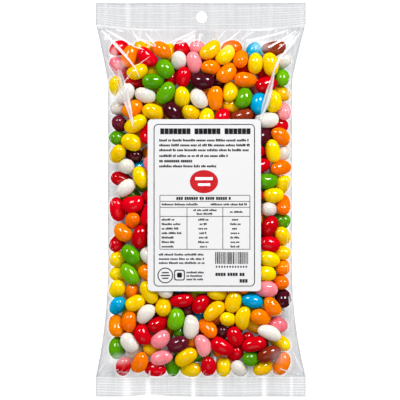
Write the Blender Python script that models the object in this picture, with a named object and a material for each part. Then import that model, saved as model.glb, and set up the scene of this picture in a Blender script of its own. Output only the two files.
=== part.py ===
"""A clear sealed pillow bag of jelly beans with a paper label, lying on its back with the label up.

X runs across the bag, Y from its bottom seal to the seal with the hang hole, and Z up from the flat back.
The bag is one solid: a shallow pouch, its two crimped seals, and the jelly beans that show, fused on.
"""

import math

import bmesh
import bpy
import numpy as np

MM = 0.001

# The bag's outline
SEAL_WIDTH = 120.4 * MM
LENGTH = 226.2 * MM
TOP_SEAL = 15.3 * MM
BOTTOM_SEAL = 11.7 * MM
WAIST_LEFT = 53.4 * MM
WAIST_RIGHT = 52.4 * MM
TOP_FLARE = 33.0 * MM
TOP_FLARE_POWER = 1.15
BOTTOM_FLARE = 61.0 * MM
FLARE_START = 3.1 * MM

# The filled pouch
HEAP_HEIGHT = 18.0 * MM
LOOSE_HEAP_HEIGHT = 21.5 * MM
SIDE_FOLD_HEIGHT = 7.5 * MM
SEAL_HEIGHT = 4.0 * MM
HEAP_MARGIN = 0.8 * MM
SIDE_ROUND = 10.0 * MM
END_ROUND = 13.0 * MM
SIDE_POWER = 5.0
END_POWER = 8.0
POUCH_COLUMNS = 18
POUCH_ROWS = 26
ROW_CROWDING = 1.35  # how much the pouch's rows crowd to its ends, in radians of a sine
STEEPEST = 3.0
SLOPE_REACH = 0.5 * MM

# The crimped seals and the hang hole
FILM = 0.8 * MM
RIB_PITCH = 1.53 * MM
RIB_HEIGHT = 0.5 * MM
SEAL_COLUMNS = 6
SEAL_OVERLAP = 0.6 * MM
SEAL_WAVE = 0.5 * MM
SEAL_HALF_WAVES = 2.5
HOLE_DIAMETER = 6.6 * MM
HOLE_FROM_TOP = 8.1 * MM
HOLE_X = 0.5 * MM
HOLE_SIDES = 24

# The jelly beans
BEAN_COUNT = 345
BEAN_LENGTH = 12.9 * MM
BEAN_LENGTHS = (0.93, 1.13)
BEAN_WIDTH = 9.1 * MM
BEAN_WIDTHS = (0.95, 1.06)
BEAN_BEND = 0.7 * MM
BEAN_BLUNTNESS = 2.5
BEAN_SEED = 9
BEAN_END = 0.9
BEAN_ABOVE_BACK = 0.3 * MM
BEAN_UNDER_LABEL = 0.15 * MM
LABEL_SURROUND = 2.0 * MM
HEADER_GAP = 6.5 * MM
CORE_DROP = 5.0 * MM
CORE_DROP_UNDER_LABEL = 0.4 * MM
LEAST_RISE = 1.6 * MM
HIDDEN_MARGIN = 5.0 * MM
BEAN_SIDES = 7
BEAN_RINGS = (-0.7, 0.0, 0.7)
MERGE_DISTANCE = 0.02 * MM
BAG_SHARP_ANGLE = 50

# How the jelly beans settle into a heap
PACK_STEPS = 480
SETTLE_SHARE = 0.7
GROW_SHARE = 0.5
FIRST_SIZE = 0.55
SPREAD_X = 46.0 * MM
END_CLEARANCE = 6.0 * MM
LAYER_CLEARANCE = 5.0 * MM
FIRST_TILT = 0.5
TILT_KEPT = 0.994
NEIGHBOUR_REACH = 18.0 * MM
NEIGHBOUR_STEPS = 8
MOVE_SHARE = 0.34
TURN_SHARE = 0.33
FALL = 0.02 * MM

# The label, stuck on the film in front of the beans
LABEL_WIDTH = 64.8 * MM
LABEL_LENGTH = 98.4 * MM
LABEL_CENTRE_X = 2.0 * MM
LABEL_CENTRE_Y = -3.1 * MM
LABEL_CORNER = 2.6 * MM
LABEL_THICKNESS = 0.5 * MM
LABEL_GAP = 0.35 * MM
LABEL_ROWS = 21
LABEL_COLUMNS = 15
LABEL_SHARP_ANGLE = 40

TOP = LENGTH / 2
BOTTOM = -LENGTH / 2
POUCH_TOP = TOP - TOP_SEAL
POUCH_BOTTOM = BOTTOM + BOTTOM_SEAL
POUCH_MIDDLE = (POUCH_TOP + POUCH_BOTTOM) / 2
POUCH_HALF = (POUCH_TOP - POUCH_BOTTOM) / 2


def clear_scene():
    for item in list(bpy.data.objects):
        bpy.data.objects.remove(item, do_unlink=True)


def plain_material(name, colour, roughness):
    material = bpy.data.materials.new(name)
    material.use_nodes = True
    shader = material.node_tree.nodes["Principled BSDF"]
    shader.inputs["Base Color"].default_value = (*colour, 1.0)
    shader.inputs["Roughness"].default_value = roughness
    shader.inputs["Metallic"].default_value = 0.0
    return material


def new_object(name, points, faces, material=None):
    mesh = bpy.data.meshes.new(name)
    mesh.from_pydata([tuple(point) for point in points], [], [tuple(face) for face in faces])
    builder = bmesh.new()
    builder.from_mesh(mesh)
    bmesh.ops.recalc_face_normals(builder, faces=builder.faces)
    bmesh.ops.triangulate(builder, faces=builder.faces)
    builder.to_mesh(mesh)
    builder.free()
    if material is not None:
        mesh.materials.append(material)
    item = bpy.data.objects.new(name, mesh)
    bpy.context.scene.collection.objects.link(item)
    return item


def smooth_step(value):
    value = np.clip(value, 0.0, 1.0)
    return value * value * (3.0 - 2.0 * value)


def half_width(x, y):
    """The film's half width at y, on the side that x is on: a long waist that flares to both seals."""
    waist = np.where(x < 0.0, WAIST_LEFT, WAIST_RIGHT)
    top = np.clip((y - (POUCH_TOP + FLARE_START - TOP_FLARE)) / TOP_FLARE, 0.0, 1.0) ** TOP_FLARE_POWER
    bottom = np.clip((POUCH_BOTTOM + BOTTOM_FLARE - y) / BOTTOM_FLARE, 0.0, 1.0) ** 2
    return waist + (SEAL_WIDTH / 2 - waist) * np.maximum(top, bottom)


def end_share(y):
    """0 in the middle of the pouch's length and 1 at either seal."""
    return np.clip(np.abs(y - POUCH_MIDDLE) / POUCH_HALF, 0.0, 1.0)


def side_share(x):
    """0 in the middle of the pouch's width and 1 where the heap ends."""
    heap_half = np.where(x < 0.0, WAIST_LEFT, WAIST_RIGHT) - HEAP_MARGIN
    return np.clip(np.abs(x) / heap_half, 0.0, 1.0)


def fold_height(y):
    """Height of the pouch's side fold, which comes down to the seals at both ends."""
    return SEAL_HEIGHT + (SIDE_FOLD_HEIGHT - SEAL_HEIGHT) * (1.0 - end_share(y) ** 4)


def top_height(x, y, heap):
    """Height of the pouch's upper film for a heap of the given height."""
    low = fold_height(y) + FILM / 2
    fullness = np.sqrt(1.0 - side_share(x) ** SIDE_POWER) * np.sqrt(1.0 - end_share(y) ** END_POWER)
    return low + (heap - low) * fullness


def under_label(x, y, margin):
    """How far a place lies inside the label's rectangle less a margin: 0 or less outside it."""
    inside_x = LABEL_WIDTH / 2 - margin - np.abs(x - LABEL_CENTRE_X)
    inside_y = LABEL_LENGTH / 2 - margin - np.abs(y - LABEL_CENTRE_Y)
    return np.minimum(inside_x, inside_y)


def core_height(x, y):
    """Height of the pouch's top between the beans, which rises to back the label where no bean shows."""
    hidden = smooth_step(under_label(x, y, HIDDEN_MARGIN) / HIDDEN_MARGIN)
    drop = CORE_DROP + (CORE_DROP_UNDER_LABEL - CORE_DROP) * hidden
    return np.maximum(top_height(x, y, HEAP_HEIGHT) - drop, fold_height(y) + FILM / 2)


def bottom_height(x, y):
    """Height of the pouch's underside: flat, with rounded sides and ends."""
    heap_half = np.where(x < 0.0, WAIST_LEFT, WAIST_RIGHT) - HEAP_MARGIN
    across = np.clip((np.abs(x) - heap_half + SIDE_ROUND) / SIDE_ROUND, 0.0, 1.0)
    along = np.clip((np.abs(y - POUCH_MIDDLE) - POUCH_HALF + END_ROUND) / END_ROUND, 0.0, 1.0)
    fullness = np.sqrt(1.0 - across ** 2) * np.sqrt(1.0 - along ** 2)
    return (fold_height(y) - FILM / 2) * (1.0 - fullness)


def film_normal(height, x, y, *extra):
    """Slopes of a height function, held under the steepest, and the vertical part of its unit normal."""
    reach = SLOPE_REACH
    across = (height(x + reach, y, *extra) - height(x - reach, y, *extra)) / (2 * reach)
    along = (height(x, y + reach, *extra) - height(x, y - reach, *extra)) / (2 * reach)
    across = np.clip(across, -STEEPEST, STEEPEST)
    along = np.clip(along, -STEEPEST, STEEPEST)
    return across, along, 1.0 / np.sqrt(1.0 + across ** 2 + along ** 2)


def pack_beans():
    """Rods of three balls grow and push each other apart while the film above them draws tight."""
    ends = np.array([-1.0, 0.0, 1.0])
    draw = np.random.default_rng(BEAN_SEED)
    length = BEAN_LENGTH * draw.uniform(*BEAN_LENGTHS, BEAN_COUNT)
    width = BEAN_WIDTH * draw.uniform(*BEAN_WIDTHS, BEAN_COUNT)
    centre = np.stack([
        draw.uniform(-SPREAD_X, SPREAD_X, BEAN_COUNT),
        draw.uniform(POUCH_BOTTOM + END_CLEARANCE, POUCH_TOP - HEADER_GAP - END_CLEARANCE, BEAN_COUNT),
        draw.uniform(LAYER_CLEARANCE, HEAP_HEIGHT - LAYER_CLEARANCE, BEAN_COUNT),
    ], axis=1)
    axis = draw.uniform(-1.0, 1.0, (BEAN_COUNT, 3))
    axis[:, 2] *= FIRST_TILT
    axis /= np.linalg.norm(axis, axis=1)[:, None]
    roll = draw.uniform(0.0, 2 * math.pi, BEAN_COUNT)
    middle_radius = width / 2
    end_radius = middle_radius * BEAN_END
    arm = length / 2 - end_radius
    settled = SETTLE_SHARE * PACK_STEPS
    full_grown = GROW_SHARE * PACK_STEPS
    for step in range(PACK_STEPS):
        settling = step < settled
        slack = max(0.0, 1.0 - step / settled)
        heap = HEAP_HEIGHT + (LOOSE_HEAP_HEIGHT - HEAP_HEIGHT) * slack
        grown = min(1.0, FIRST_SIZE + (1.0 - FIRST_SIZE) * step / full_grown)
        radius = (np.stack([end_radius, middle_radius, end_radius], axis=1) * grown).ravel()
        if step % NEIGHBOUR_STEPS == 0:
            apart = np.abs(centre[:, None, :] - centre[None, :, :]).max(axis=2)
            first, second = np.nonzero(np.triu(apart < NEIGHBOUR_REACH, 1))
            one = np.repeat(first * 3, 9) + np.tile(np.repeat(np.arange(3), 3), len(first))
            two = np.repeat(second * 3, 9) + np.tile(np.arange(3), 3 * len(first))
        balls = centre[:, None, :] + axis[:, None, :] * (ends[None, :, None] * (arm * grown)[:, None, None])
        balls = balls.reshape(-1, 3)
        between = balls[one] - balls[two]
        distance = np.sqrt((between ** 2).sum(axis=1)) + 1e-9
        overlap = radius[one] + radius[two] - distance
        touching = overlap > 0.0
        push = between[touching] * (0.5 * overlap[touching] / distance[touching])[:, None]
        moved = np.zeros_like(balls)
        for part in range(3):
            gained = np.bincount(one[touching], push[:, part], len(balls))
            given = np.bincount(two[touching], push[:, part], len(balls))
            moved[:, part] = gained - given
        x, y, z = balls.T
        across, along, upright = film_normal(top_height, x, y, heap)
        above = np.maximum(0.0, (z - top_height(x, y, heap)) * upright + radius)
        moved += above[:, None] * np.stack([across * upright, along * upright, -upright], axis=1)
        across, along, upright = film_normal(bottom_height, x, y)
        below = np.maximum(0.0, (bottom_height(x, y) - z) * upright + radius)
        moved += below[:, None] * np.stack([-across * upright, -along * upright, upright], axis=1)
        wall = np.where(x < 0.0, WAIST_LEFT, WAIST_RIGHT) - HEAP_MARGIN
        moved[:, 0] -= np.sign(x) * np.maximum(0.0, np.abs(x) + radius - wall)
        moved[:, 1] -= np.maximum(0.0, y + radius - (POUCH_TOP - HEADER_GAP))
        moved[:, 1] += np.maximum(0.0, POUCH_BOTTOM - (y - radius))
        moved = moved.reshape(BEAN_COUNT, 3, 3)
        centre = centre + MOVE_SHARE * moved.sum(axis=1)
        centre[:, 2] -= FALL if settling else 0.0
        turn = (moved * ends[None, :, None]).sum(axis=1)
        axis = axis + TURN_SHARE * turn / (arm * grown)[:, None]
        axis[:, 2] *= TILT_KEPT if settling else 1.0
        axis /= np.linalg.norm(axis, axis=1)[:, None]
        centre = np.round(centre, 8)
        axis = np.round(axis, 6)
    return centre, axis, roll, length, width


def bean_frame(axis, roll):
    """Two directions across a bean's axis, turned by its roll."""
    side = np.cross(axis, (0.0, 0.0, 1.0))
    side /= np.linalg.norm(side) + 1e-9
    other = np.cross(axis, side)
    return side * math.cos(roll) + other * math.sin(roll), other * math.cos(roll) - side * math.sin(roll)


def bean_points(centre, axis, roll, length, width):
    """A plump kidney: rings round a slightly bent axis, closed by a point at each end.

    Its points are kept above the bag's back and, near the label, under the label.
    """
    side, other = bean_frame(axis, roll)
    points = [centre - axis * length / 2 - side * BEAN_BEND]
    for share in BEAN_RINGS:
        radius = width / 2 * (1.0 - abs(share) ** BEAN_BLUNTNESS) ** 0.5
        middle = centre + axis * (share * length / 2) + side * BEAN_BEND * (0.5 - 1.5 * share ** 2)
        for index in range(BEAN_SIDES):
            angle = 2 * math.pi * index / BEAN_SIDES
            points.append(middle + radius * (side * math.cos(angle) + other * math.sin(angle)))
    points.append(centre + axis * length / 2 - side * BEAN_BEND)
    points = np.array(points)
    x, y, z = points.T
    z = np.maximum(z, bottom_height(x, y) + BEAN_ABOVE_BACK)
    ceiling = top_height(x, y, HEAP_HEIGHT) + LABEL_GAP - BEAN_UNDER_LABEL
    points[:, 2] = np.where(under_label(x, y, -LABEL_SURROUND) > 0.0, np.minimum(z, ceiling), z)
    return points


def bean_faces():
    rings = len(BEAN_RINGS)
    last = 1 + rings * BEAN_SIDES
    faces = []
    for index in range(BEAN_SIDES):
        after = (index + 1) % BEAN_SIDES
        faces.append((0, 1 + after, 1 + index))
        for ring in range(rings - 1):
            low = 1 + ring * BEAN_SIDES
            high = low + BEAN_SIDES
            faces.append((low + index, low + after, high + after, high + index))
        top = 1 + (rings - 1) * BEAN_SIDES
        faces.append((top + index, top + after, last))
    return faces


def grid_faces(rows, columns, start, flip):
    faces = []
    for row in range(rows - 1):
        for column in range(columns - 1):
            corner = start + row * columns + column
            face = (corner, corner + 1, corner + columns + 1, corner + columns)
            faces.append(face[::-1] if flip else face)
    return faces


def closed_sheet_faces(rows, columns):
    """Two grids of points, upper and lower, and the band that joins their rims."""
    faces = grid_faces(rows, columns, 0, False)
    faces += grid_faces(rows, columns, rows * columns, True)
    rim = [column for column in range(columns)]
    rim += [row * columns + columns - 1 for row in range(1, rows)]
    rim += [(rows - 1) * columns + column for column in range(columns - 2, -1, -1)]
    rim += [row * columns for row in range(rows - 2, 0, -1)]
    for index, point in enumerate(rim):
        after = rim[(index + 1) % len(rim)]
        faces.append((after, point, point + rows * columns, after + rows * columns))
    return faces


def build_pouch():
    """The pouch without the beans: its underside, its folded sides and a top under the beans' crowns."""
    spread = np.sin(np.linspace(-1.0, 1.0, POUCH_COLUMNS + 1) * math.pi / 2)
    lengthways = np.sin(np.linspace(-1.0, 1.0, POUCH_ROWS + 1) * ROW_CROWDING) / math.sin(ROW_CROWDING)
    y = (POUCH_MIDDLE + POUCH_HALF * lengthways)[:, None] + np.zeros((1, POUCH_COLUMNS + 1))
    sign = np.where(spread < 0.0, -1.0, 1.0)[None, :] + np.zeros_like(y)
    x = spread[None, :] * half_width(sign, y)
    top = core_height(x, y)
    bottom = bottom_height(x, y)
    upper = np.stack([x, y, top], axis=2).reshape(-1, 3)
    lower = np.stack([x, y, bottom], axis=2).reshape(-1, 3)
    points = np.concatenate([upper, lower])
    return new_object("bag", points, closed_sheet_faces(POUCH_ROWS + 1, POUCH_COLUMNS + 1))


def build_seal(name, inner, outer):
    """A crimped seal: a thin plate whose ribs run across the bag, with a shallow wave along it."""
    depth = abs(outer - inner)
    direction = 1.0 if outer > inner else -1.0
    ribs = round(depth / RIB_PITCH)
    steps = np.arange(-1, 2 * ribs + 1)
    distance = np.clip(steps * depth / (2 * ribs), -SEAL_OVERLAP, depth)
    y = (inner + direction * distance)[:, None] + np.zeros((1, SEAL_COLUMNS + 1))
    share = np.linspace(-1.0, 1.0, SEAL_COLUMNS + 1)[None, :] + np.zeros_like(y)
    x = share * half_width(share, y)
    rib = np.where(steps % 2 == 0, -RIB_HEIGHT / 2, RIB_HEIGHT / 2)[:, None]
    wave = SEAL_WAVE * np.sin(share * SEAL_HALF_WAVES * math.pi) * (np.maximum(distance, 0.0) / depth)[:, None]
    middle = SEAL_HEIGHT + rib + wave
    upper = np.stack([x, y, middle + FILM / 2], axis=2).reshape(-1, 3)
    lower = np.stack([x, y, middle - FILM / 2], axis=2).reshape(-1, 3)
    faces = closed_sheet_faces(len(steps), SEAL_COLUMNS + 1)
    return new_object(name, np.concatenate([upper, lower]), faces)


def build_hole_cutter():
    builder = bmesh.new()
    bmesh.ops.create_cone(
        builder, cap_ends=True, segments=HOLE_SIDES,
        radius1=HOLE_DIAMETER / 2, radius2=HOLE_DIAMETER / 2, depth=4 * SEAL_HEIGHT,
    )
    bmesh.ops.translate(builder, verts=builder.verts, vec=(HOLE_X, TOP - HOLE_FROM_TOP, SEAL_HEIGHT))
    mesh = bpy.data.meshes.new("hole_cutter")
    builder.to_mesh(mesh)
    builder.free()
    cutter = bpy.data.objects.new("hole_cutter", mesh)
    cutter.hide_render = True
    cutter.display_type = "WIRE"
    bpy.context.scene.collection.objects.link(cutter)
    return cutter


def apply_modifiers(item):
    """Keeps the evaluated shape as the object's own mesh."""
    bpy.context.view_layer.update()
    evaluated = item.evaluated_get(bpy.context.evaluated_depsgraph_get())
    mesh = bpy.data.meshes.new_from_object(evaluated)
    item.modifiers.clear()
    item.data = mesh


def fuse(item, others):
    """Joins the others to the item by one union on a collection, and removes them."""
    group = bpy.data.collections.new("fused_pieces")
    bpy.context.scene.collection.children.link(group)
    for other in others:
        bpy.context.scene.collection.objects.unlink(other)
        group.objects.link(other)
    union = item.modifiers.new("fuse", "BOOLEAN")
    union.operation = "UNION"
    union.operand_type = "COLLECTION"
    union.collection = group
    apply_modifiers(item)
    for other in others:
        bpy.data.objects.remove(other, do_unlink=True)
    bpy.data.collections.remove(group)


def cut(item, cutter):
    difference = item.modifiers.new("cut", "BOOLEAN")
    difference.operation = "DIFFERENCE"
    difference.object = cutter
    apply_modifiers(item)
    bpy.data.objects.remove(cutter, do_unlink=True)


def clean(item):
    """Merges doubled points, keeps the largest closed body and splits every face into triangles."""
    builder = bmesh.new()
    builder.from_mesh(item.data)
    bmesh.ops.remove_doubles(builder, verts=builder.verts, dist=MERGE_DISTANCE)
    bmesh.ops.dissolve_degenerate(builder, edges=builder.edges, dist=MERGE_DISTANCE)
    bmesh.ops.triangulate(builder, faces=builder.faces)
    left = set(builder.verts)
    bodies = []
    while left:
        body = {left.pop()}
        front = list(body)
        while front:
            point = front.pop()
            for edge in point.link_edges:
                other = edge.other_vert(point)
                if other in left:
                    left.discard(other)
                    body.add(other)
                    front.append(other)
        bodies.append(body)
    bodies.sort(key=len)
    scraps = [point for body in bodies[:-1] for point in body]
    bmesh.ops.delete(builder, geom=scraps, context="VERTS")
    builder.to_mesh(item.data)
    builder.free()


def shade_round(item, degrees):
    item.data.shade_smooth()
    item.data.set_sharp_from_angle(angle=math.radians(degrees))


def build_bag():
    bag = build_pouch()
    seals = [
        build_seal("top_seal", POUCH_TOP, TOP),
        build_seal("bottom_seal", POUCH_BOTTOM, BOTTOM),
    ]
    fuse(bag, seals)
    cut(bag, build_hole_cutter())
    beans = []
    for centre, axis, roll, length, width in zip(*pack_beans()):
        buried = centre[2] + width / 2 < core_height(centre[0], centre[1]) + LEAST_RISE
        hidden = under_label(centre[0], centre[1], length / 2 + HIDDEN_MARGIN) > 0.0
        if buried or hidden:
            continue
        points = bean_points(centre, axis, roll, length, width)
        beans.append(new_object("jelly_bean", points, bean_faces()))
    fuse(bag, beans)
    clean(bag)
    bag.data.materials.clear()
    bag.data.materials.append(plain_material("jelly_beans_in_film", (0.78, 0.42, 0.05), 0.25))
    shade_round(bag, BAG_SHARP_ANGLE)
    return bag


def label_outline(rows, columns):
    """A grid over the label's rectangle whose corner points are drawn in to round the corners."""
    across = np.linspace(-1.0, 1.0, columns)[None, :] + np.zeros((rows, 1))
    along = np.linspace(-1.0, 1.0, rows)[:, None] + np.zeros((1, columns))
    x = across * LABEL_WIDTH / 2
    y = along * LABEL_LENGTH / 2
    past_x = np.maximum(0.0, np.abs(x) - (LABEL_WIDTH / 2 - LABEL_CORNER))
    past_y = np.maximum(0.0, np.abs(y) - (LABEL_LENGTH / 2 - LABEL_CORNER))
    reach = np.hypot(past_x, past_y)
    pull = np.where(reach > LABEL_CORNER, LABEL_CORNER / np.maximum(reach, 1e-9), 1.0)
    x = np.sign(x) * (np.abs(x) - past_x * (1.0 - pull))
    y = np.sign(y) * (np.abs(y) - past_y * (1.0 - pull))
    return x + LABEL_CENTRE_X, y + LABEL_CENTRE_Y


def build_label():
    x, y = label_outline(LABEL_ROWS, LABEL_COLUMNS)
    low = top_height(x, y, HEAP_HEIGHT) + LABEL_GAP
    upper = np.stack([x, y, low + LABEL_THICKNESS], axis=2).reshape(-1, 3)
    lower = np.stack([x, y, low], axis=2).reshape(-1, 3)
    paper = plain_material("label_paper", (0.9, 0.9, 0.92), 0.45)
    faces = closed_sheet_faces(LABEL_ROWS, LABEL_COLUMNS)
    label = new_object("label", np.concatenate([upper, lower]), faces, paper)
    shade_round(label, LABEL_SHARP_ANGLE)
    return label


def main():
    clear_scene()
    build_bag()
    build_label()


main()
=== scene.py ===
import math

import bmesh
import bpy
import numpy as np
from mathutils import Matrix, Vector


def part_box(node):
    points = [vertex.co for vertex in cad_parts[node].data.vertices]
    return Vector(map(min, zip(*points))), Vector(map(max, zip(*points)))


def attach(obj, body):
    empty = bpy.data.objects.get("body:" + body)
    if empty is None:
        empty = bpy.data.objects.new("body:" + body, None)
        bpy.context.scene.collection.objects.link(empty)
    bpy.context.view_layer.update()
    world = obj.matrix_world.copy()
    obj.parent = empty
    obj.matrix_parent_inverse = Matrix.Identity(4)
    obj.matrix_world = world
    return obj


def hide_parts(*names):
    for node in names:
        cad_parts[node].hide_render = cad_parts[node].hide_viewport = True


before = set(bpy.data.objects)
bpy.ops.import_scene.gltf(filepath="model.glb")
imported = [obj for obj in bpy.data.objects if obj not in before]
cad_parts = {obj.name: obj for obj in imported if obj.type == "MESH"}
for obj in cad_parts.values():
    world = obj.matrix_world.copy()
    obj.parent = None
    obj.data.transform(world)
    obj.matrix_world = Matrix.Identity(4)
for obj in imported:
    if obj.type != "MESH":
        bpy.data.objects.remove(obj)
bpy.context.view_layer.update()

mm = 0.001
bagLow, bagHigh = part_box("bag")
labelLow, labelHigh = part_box("label")


# A colour given on the usual 0 to 255 scale, as linear light
def linear(red, green, blue):
    scaled = np.array([red, green, blue]) / 255.0
    bent = ((scaled + 0.055) / 1.055) ** 2.4
    return tuple(float(part) for part in np.where(scaled <= 0.04045, scaled / 12.92, bent))


# Rises from 0 to 1, level at both ends: three times the square, less twice the cube
def smoothStep(value):
    value = np.clip(value, 0.0, 1.0)
    return value * value * (3.0 - 2.0 * value)


# The pouch: the same shape as the solid it stands for

pouch = {
    "width": bagHigh.x - bagLow.x,
    "length": bagHigh.y - bagLow.y,
    "topSeal": 15.3 * mm,
    "bottomSeal": 11.7 * mm,
    "waistLeft": 53.4 * mm,
    "waistRight": 52.4 * mm,
    "topFlare": 33.0 * mm,
    "topFlarePower": 1.15,
    "bottomFlare": 61.0 * mm,
    "bottomFlarePower": 2,
    "flareStart": 3.1 * mm,
    "heap": 18.0 * mm,
    "looseHeap": 21.5 * mm,
    "sideFold": 7.5 * mm,
    "foldPower": 4,
    "sealHeight": 4.0 * mm,
    "margin": 0.8 * mm,
    "sideRound": 10.0 * mm,
    "endRound": 13.0 * mm,
    "sidePower": 5.0,
    "endPower": 8.0,
    "lip": 0.4 * mm,
    "slopeReach": 0.5 * mm,
    "steepest": 3.0,
}
pouchTop = pouch["length"] / 2 - pouch["topSeal"]
pouchBottom = pouch["bottomSeal"] - pouch["length"] / 2
pouchMiddle = (pouchTop + pouchBottom) / 2
pouchHalf = (pouchTop - pouchBottom) / 2


def waist(x):
    return np.where(x < 0.0, pouch["waistLeft"], pouch["waistRight"])


# Half the film's width at y: the waist, and a smooth step outwards to each seal
def halfWidth(x, y):
    flareLow = pouchTop + pouch["flareStart"] - pouch["topFlare"]
    top = np.clip((y - flareLow) / pouch["topFlare"], 0.0, 1.0) ** pouch["topFlarePower"]
    bottom = np.clip((pouchBottom + pouch["bottomFlare"] - y) / pouch["bottomFlare"], 0.0, 1.0)
    widening = np.maximum(top, bottom ** pouch["bottomFlarePower"])
    return waist(x) + (pouch["width"] / 2 - waist(x)) * widening


def endShare(y):
    return np.clip(np.abs(y - pouchMiddle) / pouchHalf, 0.0, 1.0)


def sideShare(x):
    return np.clip(np.abs(x) / (waist(x) - pouch["margin"]), 0.0, 1.0)


def foldHeight(y):
    rise = 1.0 - endShare(y) ** pouch["foldPower"]
    return pouch["sealHeight"] + (pouch["sideFold"] - pouch["sealHeight"]) * rise


# A low rim, and a dome that is the product of two flat-topped arches, one each way
def topHeight(x, y, heap):
    low = foldHeight(y) + pouch["lip"]
    sides = np.sqrt(1.0 - sideShare(x) ** pouch["sidePower"])
    ends = np.sqrt(1.0 - endShare(y) ** pouch["endPower"])
    return low + (heap - low) * (sides * ends)


# Flat underneath, with a quarter circle up to the fold at the sides and the ends
def bottomHeight(x, y):
    half = waist(x) - pouch["margin"]
    across = np.clip((np.abs(x) - half + pouch["sideRound"]) / pouch["sideRound"], 0.0, 1.0)
    along = np.clip((np.abs(y - pouchMiddle) - pouchHalf + pouch["endRound"]) / pouch["endRound"], 0.0, 1.0)
    return (foldHeight(y) - pouch["lip"]) * (1.0 - np.sqrt(1.0 - across ** 2) * np.sqrt(1.0 - along ** 2))


# A height function's slopes both ways, held under the steepest, and the upright part of its normal
def slopes(height, x, y, *extra):
    reach, most = pouch["slopeReach"], pouch["steepest"]
    across = np.clip((height(x + reach, y, *extra) - height(x - reach, y, *extra)) / (2 * reach), -most, most)
    along = np.clip((height(x, y + reach, *extra) - height(x, y - reach, *extra)) / (2 * reach), -most, most)
    return across, along, 1.0 / np.sqrt(1.0 + across ** 2 + along ** 2)


# The heap of jelly beans: rods of three balls that push each other apart under the tightening film

heap = {
    "count": 345,
    "length": 12.9 * mm,
    "lengths": (0.93, 1.13),
    "width": 9.1 * mm,
    "widths": (0.95, 1.06),
    "bend": 0.7 * mm,
    "bends": (0.3, 1.2),
    "bluntness": (2.1, 2.9),
    "taper": 0.05,
    "lump": 0.016,
    "lumpWaves": 3.0,
    "lumpTwist": 2.0,
    "oval": 0.93,
    "lift": 0.35 * mm,  # the back film and its seam lie under the lowest beans
    "lowest": 0.34 * mm,
    "seed": 9,
    "colourSeed": 13419,
    "endShare": 0.9,
    "headerGap": 6.5 * mm,
}
packing = {
    "steps": 480,
    "settleShare": 0.7,
    "growShare": 0.5,
    "firstSize": 0.55,
    "growth": 0.45,
    "spread": 46 * mm,
    "endClearance": 6 * mm,
    "layerClearance": 5 * mm,
    "firstTilt": 0.5,
    "tiltKept": 0.994,
    "neighbourReach": 18 * mm,
    "neighbourSteps": 8,
    "moveShare": 0.34,
    "turnShare": 0.33,
    "fall": 0.02 * mm,
}


# Which balls may touch: all nine pairs between each two beans whose middles are near each other
def nearBalls(centre):
    apart = np.abs(centre[:, None, :] - centre[None, :, :]).max(axis=2)
    first, second = np.nonzero(np.triu(apart < packing["neighbourReach"], 1))
    one = np.repeat(first * 3, 9) + np.tile(np.repeat(np.arange(3), 3), len(first))
    two = np.repeat(second * 3, 9) + np.tile(np.arange(3), 3 * len(first))
    return one, two


# Overlapping balls part by half their overlap each, along the line between their middles
def pushApart(balls, radius, one, two):
    between = balls[one] - balls[two]
    distance = np.sqrt((between ** 2).sum(axis=1)) + 1e-9
    overlap = radius[one] + radius[two] - distance
    touching = overlap > 0.0
    push = between[touching] * (0.5 * overlap[touching] / distance[touching])[:, None]
    moved = np.zeros_like(balls)
    for part in range(3):
        gained = np.bincount(one[touching], push[:, part], len(balls))
        given = np.bincount(two[touching], push[:, part], len(balls))
        moved[:, part] = gained - given
    return moved


# The film pushes along its normal from above and below, and the folds and seals push straight in
def pressIn(moved, balls, radius, ceiling):
    x, y, z = balls.T
    across, along, upright = slopes(topHeight, x, y, ceiling)
    above = np.maximum(0.0, (z - topHeight(x, y, ceiling)) * upright + radius)
    moved += above[:, None] * np.stack([across * upright, along * upright, -upright], axis=1)
    across, along, upright = slopes(bottomHeight, x, y)
    below = np.maximum(0.0, (bottomHeight(x, y) - z) * upright + radius)
    moved += below[:, None] * np.stack([-across * upright, -along * upright, upright], axis=1)
    moved[:, 0] -= np.sign(x) * np.maximum(0.0, np.abs(x) + radius - (waist(x) - pouch["margin"]))
    moved[:, 1] -= np.maximum(0.0, y + radius - (pouchTop - heap["headerGap"]))
    moved[:, 1] += np.maximum(0.0, pouchBottom - (y - radius))


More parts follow.
